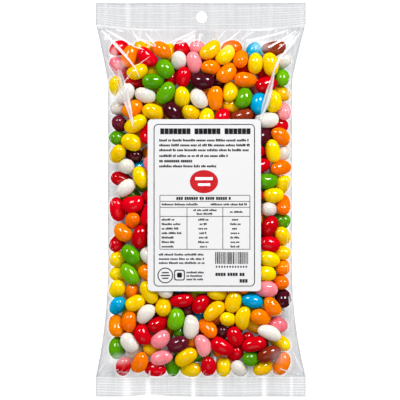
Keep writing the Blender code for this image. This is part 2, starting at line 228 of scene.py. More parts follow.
# The beans start small in a loose bag, grow, and settle as the film tightens
def packBeans():
    count, steps = heap["count"], packing["steps"]
    gap = packing["endClearance"]
    draw = np.random.default_rng(heap["seed"])
    length = heap["length"] * draw.uniform(*heap["lengths"], count)
    width = heap["width"] * draw.uniform(*heap["widths"], count)
    centre = np.stack([
        draw.uniform(-packing["spread"], packing["spread"], count),
        draw.uniform(pouchBottom + gap, pouchTop - heap["headerGap"] - gap, count),
        draw.uniform(packing["layerClearance"], pouch["heap"] - packing["layerClearance"], count),
    ], axis=1)
    axis = draw.uniform(-1.0, 1.0, (count, 3))
    axis[:, 2] *= packing["firstTilt"]
    axis /= np.linalg.norm(axis, axis=1)[:, None]
    roll = draw.uniform(0.0, 2 * math.pi, count)
    middleRadius = width / 2
    endRadius = middleRadius * heap["endShare"]
    arm = length / 2 - endRadius
    ends = np.array([-1.0, 0.0, 1.0])
    for step in range(steps):
        settling = step < packing["settleShare"] * steps
        slack = max(0.0, 1.0 - step / (packing["settleShare"] * steps))
        ceiling = pouch["heap"] + (pouch["looseHeap"] - pouch["heap"]) * slack
        grown = min(1.0, packing["firstSize"] + packing["growth"] * step / (packing["growShare"] * steps))
        radius = (np.stack([endRadius, middleRadius, endRadius], axis=1) * grown).ravel()
        if step % packing["neighbourSteps"] == 0:
            one, two = nearBalls(centre)
        balls = centre[:, None, :] + axis[:, None, :] * (ends[None, :, None] * (arm * grown)[:, None, None])
        balls = balls.reshape(-1, 3)
        moved = pushApart(balls, radius, one, two)
        pressIn(moved, balls, radius, ceiling)
        moved = moved.reshape(count, 3, 3)
        centre = centre + packing["moveShare"] * moved.sum(axis=1)
        centre[:, 2] -= packing["fall"] if settling else 0.0
        turn = (moved * ends[None, :, None]).sum(axis=1)
        axis = axis + packing["turnShare"] * turn / (arm * grown)[:, None]
        axis[:, 2] *= packing["tiltKept"] if settling else 1.0
        axis /= np.linalg.norm(axis, axis=1)[:, None]
        centre = np.round(centre, 8)  # rounded, so that every computer packs the same heap
        axis = np.round(axis, 6)
    return centre, axis, roll, length, width


# The two directions across each bean, turned by its roll
def beanDirections(axis, roll):
    side = np.cross(axis, (0.0, 0.0, 1.0))
    side /= np.linalg.norm(side, axis=1)[:, None] + 1e-9
    other = np.cross(axis, side)
    turn, lean = np.cos(roll)[:, None], np.sin(roll)[:, None]
    return side * turn + other * lean, other * turn - side * lean


# Points over every bean: the radius is the root of one less a power of the place along the axis, one end
# a little fuller, the section slightly oval and uneven, and the axis bent like a kidney's
def beanSurface(beans, along, around):
    shape = {name: beans[name][:, None, None] for name in ("power", "taper", "lump", "phase", "bend", "oval")}
    radius = np.sqrt(np.maximum(0.0, 1.0 - np.abs(along) ** shape["power"]))
    radius = radius * (1.0 + shape["taper"] * along)
    waves = heap["lumpWaves"] * around + shape["phase"] + heap["lumpTwist"] * along
    radius = radius * (1.0 + shape["lump"] * np.sin(waves)) * beans["width"][:, None, None] / 2
    offset = shape["bend"] * (0.5 - 1.5 * along ** 2)
    sideways = offset + radius * np.cos(around)
    upwards = radius * np.sin(around) * shape["oval"]
    forwards = along * beans["length"][:, None, None] / 2
    points = beans["centre"][:, None, None, :]
    for direction, reach in (("axis", forwards), ("side", sideways), ("other", upwards)):
        points = points + beans[direction][:, None, None, :] * reach[..., None]
    points[..., 2] = np.maximum(points[..., 2], heap["lowest"])
    return points


def describeBeans():
    centre, axis, roll, length, width = packBeans()
    count = heap["count"]
    draw = np.random.default_rng(heap["seed"] + 1)
    centre[:, 2] = heap["lift"] + centre[:, 2] * (pouch["heap"] - heap["lift"]) / pouch["heap"]
    side, other = beanDirections(axis, roll)
    return {
        "centre": centre, "axis": axis, "side": side, "other": other,
        "length": length, "width": width,
        "power": draw.uniform(*heap["bluntness"], count),
        "taper": draw.uniform(-heap["taper"], heap["taper"], count),
        "lump": draw.uniform(0.0, heap["lump"], count),
        "phase": draw.uniform(0.0, 2 * math.pi, count),
        "oval": draw.uniform(heap["oval"], 1.0, count),
        "bend": heap["bend"] * draw.uniform(*heap["bends"], count),
        "tint": draw.uniform(0.0, 1.0, count),
    }


beans = describeBeans()
print("jelly beans packed:", heap["count"])


# Meshes


def newPiece(name, points, faces, rough=False):
    mesh = bpy.data.meshes.new(name)
    mesh.from_pydata(np.asarray(points, float).reshape(-1, 3).tolist(), [], [list(face) for face in faces])
    mesh.update()
    if not rough:
        mesh.shade_smooth()
    piece = bpy.data.objects.new(name, mesh)
    bpy.context.scene.collection.objects.link(piece)
    return piece


def gridFaces(rows, columns, flip=False):
    corner = (np.arange(rows - 1)[:, None] * columns + np.arange(columns - 1)[None, :]).ravel()
    faces = np.stack([corner, corner + 1, corner + columns + 1, corner + columns], axis=1)
    return faces[:, ::-1] if flip else faces


# Faces of a thin closed sheet: an upper grid, a lower one, and a band round the rim between them
def sheetFaces(rows, columns):
    rim = list(range(columns))
    rim += [row * columns + columns - 1 for row in range(1, rows)]
    rim += [(rows - 1) * columns + column for column in range(columns - 2, -1, -1)]
    rim += [row * columns for row in range(rows - 2, 0, -1)]
    lower = rows * columns
    band = [(b, a, a + lower, b + lower) for a, b in zip(rim, rim[1:] + rim[:1])]
    return list(gridFaces(rows, columns)) + list(gridFaces(rows, columns, flip=True) + lower) + band


def gridPoints(x, y, z):
    return np.stack([x, y, z], axis=2).reshape(-1, 3)


def setAttribute(piece, name, values):
    attribute = piece.data.attributes.new(name, "FLOAT", "POINT")
    attribute.data.foreach_set("value", np.asarray(values, np.float32).ravel())


# Materials


def newMaterial(name):
    material = bpy.data.materials.new(name)
    material.use_nodes = True
    nodes = material.node_tree.nodes
    return material, nodes, material.node_tree.links, nodes["Principled BSDF"]


def maths(nodes, links, operation, first, second, clamp=False):
    node = nodes.new("ShaderNodeMath")
    node.operation = operation
    node.use_clamp = clamp
    for value, socket in ((first, node.inputs[0]), (second, node.inputs[1])):
        if isinstance(value, (int, float)):
            socket.default_value = value
        else:
            links.new(value, socket)
    return node.outputs[0]


# value times factor, plus offset
def scaleAdd(nodes, links, value, factor, offset, clamp=False):
    return maths(nodes, links, "ADD", maths(nodes, links, "MULTIPLY", value, factor), offset, clamp)


# first and second are colours or sockets; factor is a socket
def mixColours(nodes, links, factor, first, second):
    mix = nodes.new("ShaderNodeMix")
    mix.data_type = "RGBA"
    mix.clamp_factor = True
    links.new(factor, mix.inputs[0])
    for value, socket in ((first, mix.inputs[6]), (second, mix.inputs[7])):
        if isinstance(value, tuple):
            socket.default_value = (*value, 1.0)
        else:
            links.new(value, socket)
    return mix.outputs[2]


def readMark(nodes, name):
    node = nodes.new("ShaderNodeAttribute")
    node.attribute_name = name
    return node.outputs["Fac"]


def addBump(nodes, links, shader, height, strength, distance):
    bump = nodes.new("ShaderNodeBump")
    bump.inputs["Strength"].default_value = strength
    bump.inputs["Distance"].default_value = distance
    links.new(height, bump.inputs["Height"])
    links.new(bump.outputs["Normal"], shader.inputs["Normal"])


mottleInputs = ("Cloud Scale", "Grain Scale", "Cloud Amount", "Grain Amount")


# Soft cloudy variation at one scale and fine grain at another, from Object coordinates
def mottleGroup():
    group = bpy.data.node_groups.new("mottle", "ShaderNodeTree")
    for name in mottleInputs:
        group.interface.new_socket(name, in_out="INPUT", socket_type="NodeSocketFloat")
    for name in ("Shade", "Height"):
        group.interface.new_socket(name, in_out="OUTPUT", socket_type="NodeSocketFloat")
    nodes, links = group.nodes, group.links
    enter, leave = nodes.new("NodeGroupInput"), nodes.new("NodeGroupOutput")
    place = nodes.new("ShaderNodeTexCoord")
    weighted = []
    for kind in ("Cloud", "Grain"):
        noise = nodes.new("ShaderNodeTexNoise")
        noise.inputs["Detail"].default_value = 3.0
        links.new(place.outputs["Object"], noise.inputs["Vector"])
        links.new(enter.outputs[kind + " Scale"], noise.inputs["Scale"])
        centred = maths(nodes, links, "SUBTRACT", noise.outputs["Fac"], 0.5)
        weighted.append(maths(nodes, links, "MULTIPLY", centred, enter.outputs[kind + " Amount"]))
    links.new(maths(nodes, links, "ADD", *weighted), leave.inputs["Shade"])
    links.new(noise.outputs["Fac"], leave.inputs["Height"])
    return group


mottle = mottleGroup()


# values stand in the order of the group's inputs; gives the Shade and the Height
def addMottle(nodes, values):
    node = nodes.new("ShaderNodeGroup")
    node.node_tree = mottle
    for name, value in zip(mottleInputs, values):
        node.inputs[name].default_value = value
    return node.outputs["Shade"], node.outputs["Height"]


# The jelly beans: one piece for each colour

beanKinds = {  # name: share of the heap, deep shade, light shade
    "yellow": (0.27, linear(237, 184, 0), linear(245, 214, 0)),
    "orange": (0.18, linear(246, 108, 0), linear(250, 136, 0)),
    "red": (0.20, linear(190, 0, 12), linear(224, 0, 24)),
    "green": (0.12, linear(72, 146, 2), linear(112, 180, 10)),
    "white": (0.08, linear(220, 214, 204), linear(230, 225, 217)),
    "pink": (0.06, linear(238, 106, 124), linear(248, 150, 158)),
    "plum": (0.05, linear(58, 10, 20), linear(106, 26, 44)),
    "blue": (0.03, linear(0, 154, 208), linear(0, 182, 228)),
    "brown": (0.02, linear(122, 34, 12), linear(156, 60, 28)),
}
beanFinish = {
    "mottle": (230.0, 2600.0, 1.1, 0.35),
    "roughness": (0.16, 0.16),  # span and least
    "bump": (0.12, 0.02 * mm),  # strength and depth
    # Neighbours' reflections would grey the colours, so the gloss is full where the shell faces the eye and
    # fades steeply towards its rims
    "coat": 1.7,
    "edgeDulling": 6.5,
    "coatIndex": 1.68,
    "coatRoughness": 0.1,
    "translucence": 0.4,
    "lightReach": (1.6 * mm, 0.6 * mm, 0.3 * mm),
}
beanRings = 8
beanSides = 12


def beanMaterial(name, deep, light):
    material, nodes, links, shader = newMaterial("beanShell" + name.capitalize())
    shade, height = addMottle(nodes, beanFinish["mottle"])
    varied = maths(nodes, links, "ADD", shade, readMark(nodes, "tint"), clamp=True)
    links.new(mixColours(nodes, links, varied, deep, light), shader.inputs["Base Color"])
    links.new(scaleAdd(nodes, links, height, *beanFinish["roughness"]), shader.inputs["Roughness"])
    addBump(nodes, links, shader, height, *beanFinish["bump"])
    gloss = nodes.new("ShaderNodeLayerWeight")
    gloss.inputs["Blend"].default_value = 0.5
    dulled = maths(nodes, links, "MULTIPLY", gloss.outputs["Facing"], beanFinish["edgeDulling"])
    coat = maths(nodes, links, "SUBTRACT", beanFinish["coat"], dulled, clamp=True)
    links.new(coat, shader.inputs["Coat Weight"])
    shader.inputs["Coat IOR"].default_value = beanFinish["coatIndex"]
    shader.inputs["Coat Roughness"].default_value = beanFinish["coatRoughness"]
    shader.inputs["Specular IOR Level"].default_value = 0.0
    shader.inputs["Subsurface Weight"].default_value = beanFinish["translucence"]
    shader.inputs["Subsurface Radius"].default_value = beanFinish["lightReach"]
    shader.inputs["Subsurface Scale"].default_value = 1.0
    return material


# A fan at each end and bands of four-sided faces between the rings
def beanFaces():
    index = np.arange(beanSides)
    after = (index + 1) % beanSides
    faces = [(0, 1 + b, 1 + a) for a, b in zip(index, after)]
    for ring in range(beanRings - 2):
        low = 1 + ring * beanSides
        high = low + beanSides
        faces += [(low + a, low + b, high + b, high + a) for a, b in zip(index, after)]
    last = 1 + (beanRings - 1) * beanSides
    low = last - beanSides
    faces += [(low + a, low + b, last) for a, b in zip(index, after)]
    return faces


def buildBeans():
    ring = -np.cos(math.pi * np.arange(1, beanRings) / beanRings)
    turn = 2 * math.pi * np.arange(beanSides) / beanSides
    body = beanSurface(beans, ring[None, :, None] + 0 * turn, turn[None, None, :] + 0 * ring[None, :, None])
    tips = beanSurface(beans, np.array([-1.0, 1.0])[None, :, None], np.zeros((1, 2, 1)))
    count = heap["count"]
    points = np.concatenate([tips[:, :1, 0], body.reshape(count, -1, 3), tips[:, 1:, 0]], axis=1)
    draw = np.random.default_rng(heap["colourSeed"])
    names = list(beanKinds)
    shares = np.array([beanKinds[name][0] for name in names])
    kinds = draw.choice(len(names), count, p=shares / shares.sum())
    template = beanFaces()
    perBean = points.shape[1]
    for number, name in enumerate(names):
        chosen = np.nonzero(kinds == number)[0]
        rows = range(len(chosen))
        faces = [[corner + perBean * row for corner in face] for row in rows for face in template]
        piece = newPiece("jelly_beans_" + name, points[chosen], faces)
        setAttribute(piece, "tint", np.repeat(beans["tint"][chosen], perBean))
        piece.data.materials.append(beanMaterial(name, *beanKinds[name][1:]))
        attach(piece, "root")
        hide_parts("bag")


buildBeans()
print("jelly beans built")


# The film: a sheet drawn tight over the beans, closed at the sides and welded at both ends

film = {
    "cell": 0.65 * mm,
    "clearance": 0.07 * mm,
    "gridMargin": 2 * mm,
    "rimMargin": 0.3 * mm,
    "tighten": 500,
    "backTighten": 120,
    "backHeight": 0.22 * mm,
    "beanSteps": 36,
    "columns": 150,
    "crowding": 0.45,
    "pouchRows": 190,
    "ribPitch": 1.53 * mm,
    "ribRise": 0.11 * mm,
    "ribEdge": 0.6 * mm,
    "ribDrift": ((0.18 * mm, 9 * mm, 0.0), (0.1 * mm, 3.7 * mm, 1.0)),  # rise, length and start of each wave
    "ribStrength": 0.3,
    "ribWaves": ((0.35, 15 * mm, 2.4), (0.25, 6 * mm, -1.7)),  # size, length, and shift from rib to rib
    "ribSides": (0.6, 36 * mm, 20 * mm),  # gain, and where it starts and how far it takes
    "rowsPerRib": 5,
    "weld": 0.12 * mm,
    "samePlace": 0.001 * mm,
    "weldFades": (2.5 * mm, 2.0 * mm),
    "sealWave": 0.5 * mm,
    "sealHalfWaves": 2.5,
    "sealCurve": 3.2,
    "pinchRise": 0.3 * mm,
    "holeRadius": 3.3 * mm,
    "holeX": 0.5 * mm,
    "holeFromTop": 8.1 * mm,
}
lowerTuck = {"rise": 1.1 * mm, "reach": 6 * mm, "place": -29 * mm, "width": 11 * mm}
# Where the film stands off the beans, a painted milky white sheen: centre, reach both ways and strength
sheenHazes = (
    ((-46.6, 77.6), (4.6, 3.6), 0.2),
    ((-50.0, 84.0), (2.4, 4.0), 0.25),
    ((-49.6, 58.6), (3.0, 4.4), 0.18),
    ((34.6, 88.2), (7.0, 3.6), 0.18),
    ((15.4, 87.4), (4.6, 3.0), 0.12),
    ((-46.4, -91.4), (8.0, 4.0), 0.2),
    ((45.0, -90.0), (6.0, 5.0), 0.14),
)
# Upright pinches in the crimped seals: place across, width and the strength of their painted white highlight
topPinches = (
    (-54.5, 2.0, 0.15), (-42.0, 2.6, 0.3), (-30.0, 1.6, 0.2), (-21.0, 2.0, 0.12), (7.6, 2.6, 0.15),
    (40.6, 2.0, 0.12),
)
bottomPinches = (
    (-42.6, 5.0, 0.7), (-30.4, 2.4, 1.0), (-4.4, 2.2, 1.0), (11.0, 3.4, 0.5), (36.4, 2.2, 0.9),
    (52.0, 1.6, 0.6),
)
# The film's milky veil where two layers lie together, and its white flashes, which are painted highlights.
# The first two have a gain, where it starts and how far it takes, as shares of half the bag
filmLook = {
    "rimVeil": (0.35, 0.975, 0.02),
    "sideVeil": (0.15, 0.8, 0.1),
    "bottomVeil": 0.13,
    # ribVeil paints light on the ribs' crests and shade in their hollows
    "ribVeil": (0.03, 0.07, 0.06),  # everywhere, with each rib's strength, and added in the bottom seal
    # ribFlash is a painted highlight on the ribs' tops
    "ribFlash": (0.02, 0.12, 0.25),  # everywhere, with each rib's strength, and with the pinches
    "ribFlashPower": 4,
    "ribEnds": (0.985, 0.01),
    # pinchFlash is the pinches' painted highlight: everywhere, and stronger on the ribs' tops
    "pinchFlash": (0.16, 0.24),  # everywhere, and with the ribs
    # sealEdge is a painted white highlight along the line where the top seal starts
    "sealEdge": (0.14, 0.4 * mm, 0.45 * mm),  # strength, place and width
    "hazeEdge": 1.35,
}


def blur(values, times):
    for _ in range(times):
        values = np.pad(values, 1, mode="edge")
        total = values[1:-1, 1:-1] * 4 + values[:-2, 1:-1] + values[2:, 1:-1]
        values = (total + values[1:-1, :-2] + values[1:-1, 2:]) / 8
    return values


# A stretched sheet: each place goes to its neighbours' mean, but not below what it lies on
def tighten(start, obstacle, held, times):
    sheet = start.copy()
    for _ in range(times):
        beside = np.roll(sheet, 1, 0) + np.roll(sheet, -1, 0)
        around = (beside + np.roll(sheet, 1, 1) + np.roll(sheet, -1, 1)) / 4
        sheet = np.where(held, start, np.maximum(obstacle, around))
    return sheet


# Heights on an even grid over the bag, read between its points by straight lines
class Field:
    def __init__(self):
        halfX, halfY = pouch["width"] / 2 + film["gridMargin"], pouch["length"] / 2 + film["gridMargin"]
        self.x = np.arange(-halfX, halfX + film["cell"], film["cell"])
        self.y = np.arange(-halfY, halfY + film["cell"], film["cell"])
        self.gridX, self.gridY = np.meshgrid(self.x, self.y)

    def read(self, values, x, y):
        column = np.clip((x - self.x[0]) / film["cell"], 0, len(self.x) - 1.001)
        row = np.clip((y - self.y[0]) / film["cell"], 0, len(self.y) - 1.001)
        left, low = np.floor(column).astype(int), np.floor(row).astype(int)
        across, along = column - left, row - low
        lower = values[low, left] * (1 - across) + values[low, left + 1] * across
        upper = values[low + 1, left] * (1 - across) + values[low + 1, left + 1] * across
        return lower * (1 - along) + upper * along

    # The beans' highest points over each cell, or their lowest for a sign of -1; -1 where there is no bean
    def crowns(self, sign):
        along = np.linspace(-1.0, 1.0, film["beanSteps"])[None, :, None]
        around = np.linspace(0.0, 2 * math.pi, film["beanSteps"], endpoint=False)[None, None, :]
        points = beanSurface(beans, along + 0 * around, around + 0 * along).reshape(-1, 3)
        column = np.round((points[:, 0] - self.x[0]) / film["cell"]).astype(int)
        row = np.round((points[:, 1] - self.y[0]) / film["cell"]).astype(int)
        values = np.full(self.gridX.shape, -1.0)
        np.maximum.at(values, (row, column), sign * points[:, 2])
        return values


field = Field()


def drapeFilm():
    inside = (np.abs(field.gridX) < halfWidth(field.gridX, field.gridY) - film["rimMargin"])
    inside &= (field.gridY < pouchTop) & (field.gridY > pouchBottom)
    rim = foldHeight(field.gridY)
    crowns = field.crowns(1.0)
    start = np.where(inside, topHeight(field.gridX, field.gridY, pouch["heap"]), rim)
    obstacle = np.where(crowns > 0, crowns + film["clearance"], 0.0)
    upper = tighten(start, obstacle, ~inside, film["tighten"])
    upper = np.maximum(blur(upper, 2), obstacle)
    roots = field.crowns(-1.0)
    below = np.where(roots > -0.9, roots + film["clearance"], -1.0)
    start = np.where(inside, -bottomHeight(field.gridX, field.gridY), -rim)
    lower = -np.minimum(tighten(start, below, ~inside, film["backTighten"]), -film["backHeight"])
    lower = np.where(inside, lower, rim)
    covered = blur((crowns > 0).astype(float), 3)
    return upper, lower, covered


filmUpper, filmLower, filmCovered = drapeFilm()
print("film drawn tight")


# Soft round patches of painted white sheen: each is full in the middle and gone at its reach; the strongest
# counts
def sheenHazeAt(x, y):
    haze = np.zeros_like(x)
    for centre, reach, strength in sheenHazes:
        away = np.hypot((x / mm - centre[0]) / reach[0], (y / mm - centre[1]) / reach[1])
        haze = np.maximum(haze, strength * smoothStep(filmLook["hazeEdge"] - away))
    return haze


# Where the crimping starts: straight, and curving out to the bag's corners
def sealLine(x):
    return pouchTop + pouch["flareStart"] * np.abs(x / (pouch["width"] / 2)) ** film["sealCurve"]


# How far the two layers are welded, from 0 to 1; with a lead the weld starts that much earlier
def weldShare(y, lead=0.0):
    topFade, bottomFade = film["weldFades"]
    return smoothStep((y - pouchTop) / topFade + lead) + smoothStep((pouchBottom - y) / bottomFade + lead)


# The upper film's height, with the seals' at both ends
def filmHeight(x, y):
    welded = pouch["sealHeight"] + film["weld"] + film["ribRise"] + film["sealWave"]
    share = weldShare(y)
    return field.read(filmUpper, x, y) * (1 - share) + welded * share


# The film's points: rows five to a rib in the seals, and columns that crowd towards the sides
def filmGrid():
    half = pouch["length"] / 2
    topRows = round(pouch["topSeal"] / film["ribPitch"]) * film["rowsPerRib"]
    bottomRows = round(pouch["bottomSeal"] / film["ribPitch"]) * film["rowsPerRib"]
    rows = np.concatenate([
        np.linspace(-half, pouchBottom, bottomRows, endpoint=False),
        np.linspace(pouchBottom, pouchTop, film["pouchRows"], endpoint=False),
        np.linspace(pouchTop, half, topRows + 1),
    ])
    columns = np.linspace(-1.0, 1.0, film["columns"])
    columns = (1 - film["crowding"]) * columns + film["crowding"] * np.sin(columns * math.pi / 2)
    y = rows[:, None] + 0 * columns[None, :]
    x = columns[None, :] * halfWidth(columns[None, :] + 0 * y, y)
    edge = np.clip((lowerTuck["reach"] - half - y) / lowerTuck["reach"], 0, 1)
    y = y + edge * lowerTuck["rise"] * np.exp(-((x - lowerTuck["place"]) / lowerTuck["width"]) ** 2)
    return columns, x, y


# The crimping at each place: how far it has started, the ribs' ripple, which drifts a little across the bag,
# how strong each rib looks there, and the pinches
def crimping(x, y):
    half = pouch["length"] / 2
    zone = smoothStep((y - sealLine(x)) / film["ribEdge"]) + smoothStep((pouchBottom - y) / film["ribEdge"])
    drift = sum(rise * np.sin(x / length + start) for rise, length, start in film["ribDrift"])
    crowding = np.where(y > 0, (half - sealLine(x)) / pouch["topSeal"], 1.0)
    fromEnd = (half - np.abs(y + drift)) / crowding
    ripple = np.cos(2 * math.pi * fromEnd / film["ribPitch"])
    number = np.round(fromEnd / film["ribPitch"])
    waves = (size * np.sin(x / length + shift * number) for size, length, shift in film["ribWaves"])
    gain, start, reach = film["ribSides"]
    strong = sum(waves, film["ribStrength"]) + gain * smoothStep((np.abs(x) - start) / reach)
    pinch = np.zeros_like(x)
    for pinches, side in ((topPinches, y > pouchTop), (bottomPinches, y < pouchBottom)):
        for place, width, white in pinches:
            line = np.exp(-((x - place * mm) / (width * mm * 0.5)) ** 2)
            pinch = np.maximum(pinch, np.where(side, white * line, 0.0))
    return zone, ripple, np.clip(strong, 0.0, 1.0), pinch


# The veil: full where no bean lies under the film, more along the rim and the sides; on the ribs it is less
# on their crests and more in their hollows, a painted light and shade
def veilMark(columns, x, y, zone, ripple, strong):
    half = pouch["length"] / 2
    borders = np.maximum(np.abs(columns)[None, :] + 0 * y, 1 - (half - np.abs(y)) / half)
    veil = 1.0 - field.read(filmCovered, x, y)
    gain, start, reach = filmLook["rimVeil"]
    veil = veil * (1.0 + gain * smoothStep((borders - start) / reach))
    gain, start, reach = filmLook["sideVeil"]
    veil = veil * (1.0 + gain * smoothStep((borders - start) / reach) * (1.0 - zone))
    veil = veil * (1.0 - filmLook["bottomVeil"] * smoothStep((pouchBottom - y) / film["ribEdge"]))
    base, withStrength, atBottom = filmLook["ribVeil"]
    return veil * (1.0 - (base + withStrength * strong + atBottom * (y < 0)) * zone * ripple)


# The flash, a painted white highlight: the strongest of the sheen hazes, the pinches, the ribs' tops and the
# line where the top seal starts
def flashMark(columns, x, y, zone, ripple, strong, pinch):
    tops = np.clip(ripple, 0, 1)
    start, reach = filmLook["ribEnds"]
    seals = zone * (1.0 - smoothStep((np.abs(columns)[None, :] - start) / reach))
    base, withStrength, withPinch = filmLook["ribFlash"]
    ribs = seals * (base + withStrength * strong + withPinch * pinch) * tops ** filmLook["ribFlashPower"]
    white, offset, width = filmLook["sealEdge"]
    sealEdge = white * np.exp(-((y - sealLine(x) + offset) / width) ** 2)
    base, withRibs = filmLook["pinchFlash"]
    return np.maximum.reduce([sheenHazeAt(x, y), pinch * (base + withRibs * tops), ribs, sealEdge])


# The faces inside the hang hole go, and the points around it move onto its circle at the seal's height
def punchHole(points, faces, sealHeights):
    middle = np.array([film["holeX"], pouch["length"] / 2 - film["holeFromTop"]])
    away = np.hypot(points[:, 0] - middle[0], points[:, 1] - middle[1])
    keep = away[faces].mean(axis=1) > film["holeRadius"]
    ringed = np.intersect1d(faces[keep], faces[~keep])
    toHole = (points[ringed, :2] - middle) / away[ringed][:, None]
    points[ringed, :2] = middle + toHole * film["holeRadius"]
    points[ringed, 2] = np.tile(sealHeights.ravel(), 2)[ringed]
    return faces[keep]


# The two layers meet at the rim and around the hole, so points in the same place become one
def weldPoints(piece):
    builder = bmesh.new()
    builder.from_mesh(piece.data)
    bmesh.ops.remove_doubles(builder, verts=builder.verts, dist=film["samePlace"])
    loose = [point for point in builder.verts if not point.link_faces]
    bmesh.ops.delete(builder, geom=loose, context="VERTS")
    bmesh.ops.recalc_face_normals(builder, faces=builder.faces)
    builder.to_mesh(piece.data)
    builder.free()
    piece.data.shade_smooth()


def buildFilm():
    columns, x, y = filmGrid()
    zone, ripple, strong, pinch = crimping(x, y)
    share = weldShare(y)
    wave = film["sealWave"] * np.sin(film["sealHalfWaves"] * math.pi * x / (pouch["width"] / 2)) * share
    welded = pouch["sealHeight"] + wave + zone * film["ribRise"] * ripple + film["pinchRise"] * pinch
    upper = field.read(filmUpper, x, y) * (1 - share) + (welded + film["weld"]) * share
    lower = field.read(filmLower, x, y) * (1 - share) + (welded - film["weld"]) * share
    upper = np.maximum(upper, lower + 2 * film["weld"])
    rim = np.ones(x.shape, bool)
    rim[1:-1, 1:-1] = False
    middle = (upper + lower) / 2
    points = np.concatenate([gridPoints(x, y, np.where(rim, middle, layer)) for layer in (upper, lower)])
    faces = np.concatenate([gridFaces(*x.shape), gridFaces(*x.shape, flip=True) + x.size])
    faces = punchHole(points, faces, pouch["sealHeight"] + wave)
    piece = newPiece("clear_film", points, faces)
    veil = veilMark(columns, x, y, zone, ripple, strong)
    flash = flashMark(columns, x, y, zone, ripple, strong, pinch)
    setAttribute(piece, "veil", np.concatenate([veil.ravel(), veil.ravel()]))
    setAttribute(piece, "flash", np.concatenate([flash.ravel(), 0 * flash.ravel()]))
    weldPoints(piece)
    return piece


filmFinish = {
    # white and glow: the painted highlight's colour and the painted glow it gives off
    "white": linear(250, 250, 252),
    "glow": 0.4,
    "foldHighlight": linear(234, 234, 236),
    "foldGlow": 0.0,
    "clear": (0.02, 0.02, 0.02),
    "veiled": linear(147, 151, 158),
    "greying": 0.28,
    "leastGreying": 0.015,
    "streakScale": (420.0, 30.0, 60.0),
    "streakDetail": 2.0,
    "streaks": (0.5, 0.75),  # span and least
    "mottle": (160.0, 900.0, 1.0, 0.5),
    "grazing": (0.35, 4.0, 0.3),  # blend, power and share: more shows where the film turns from the eye
    "highlightGain": 5.0,
    "roughness": (0.2, 0.16),  # span and least
    "bump": (0.2, 0.05 * mm),
    "index": 1.8,
}


# Clear film: nearly nothing over the beans, a grey veil where two layers lie together, and white with a
# painted glow where the flash, a painted highlight, lies
def filmMaterial(name, white=filmFinish["white"], glow=filmFinish["glow"]):
    material, nodes, links, shader = newMaterial(name)
    veil, flash = readMark(nodes, "veil"), readMark(nodes, "flash")
    place = nodes.new("ShaderNodeTexCoord")
    stretch = nodes.new("ShaderNodeMapping")
    stretch.inputs["Scale"].default_value = filmFinish["streakScale"]
    links.new(place.outputs["Object"], stretch.inputs["Vector"])
    streaks = nodes.new("ShaderNodeTexNoise")
    streaks.inputs["Scale"].default_value = 1.0
    streaks.inputs["Detail"].default_value = filmFinish["streakDetail"]
    links.new(stretch.outputs["Vector"], streaks.inputs["Vector"])
    streaky = scaleAdd(nodes, links, streaks.outputs["Fac"], *filmFinish["streaks"])
    streakyVeil = maths(nodes, links, "MULTIPLY", veil, streaky)
    greyed = maths(nodes, links, "MULTIPLY", streakyVeil, filmFinish["greying"])
    blend, power, share = filmFinish["grazing"]
    edge = nodes.new("ShaderNodeLayerWeight")
    edge.inputs["Blend"].default_value = blend
    steep = maths(nodes, links, "POWER", edge.outputs["Facing"], power)
    grazing = maths(nodes, links, "MULTIPLY", steep, share)
    shown = maths(nodes, links, "ADD", greyed, grazing)
    shown = maths(nodes, links, "ADD", shown, filmFinish["leastGreying"])
    links.new(maths(nodes, links, "MAXIMUM", shown, flash, clamp=True), shader.inputs["Alpha"])
    grey = mixColours(nodes, links, veil, filmFinish["clear"], filmFinish["veiled"])
    # the flash turns the film white and makes it glow: a painted highlight
    highlighted = maths(nodes, links, "MULTIPLY", flash, filmFinish["highlightGain"], clamp=True)
    links.new(mixColours(nodes, links, highlighted, grey, white), shader.inputs["Base Color"])
    shader.inputs["Emission Color"].default_value = (1.0, 1.0, 1.0, 1.0)
    links.new(maths(nodes, links, "MULTIPLY", highlighted, glow), shader.inputs["Emission Strength"])
    shade, height = addMottle(nodes, filmFinish["mottle"])
    rough = scaleAdd(nodes, links, shade, *filmFinish["roughness"], clamp=True)
    links.new(rough, shader.inputs["Roughness"])
    addBump(nodes, links, shader, height, *filmFinish["bump"])
    shader.inputs["IOR"].default_value = filmFinish["index"]
    return material


clearFilm = buildFilm()
clearFilm.data.materials.append(filmMaterial("clearFilm"))
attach(clearFilm, "root")
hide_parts("bag")
print("film built:", len(clearFilm.data.polygons), "faces")
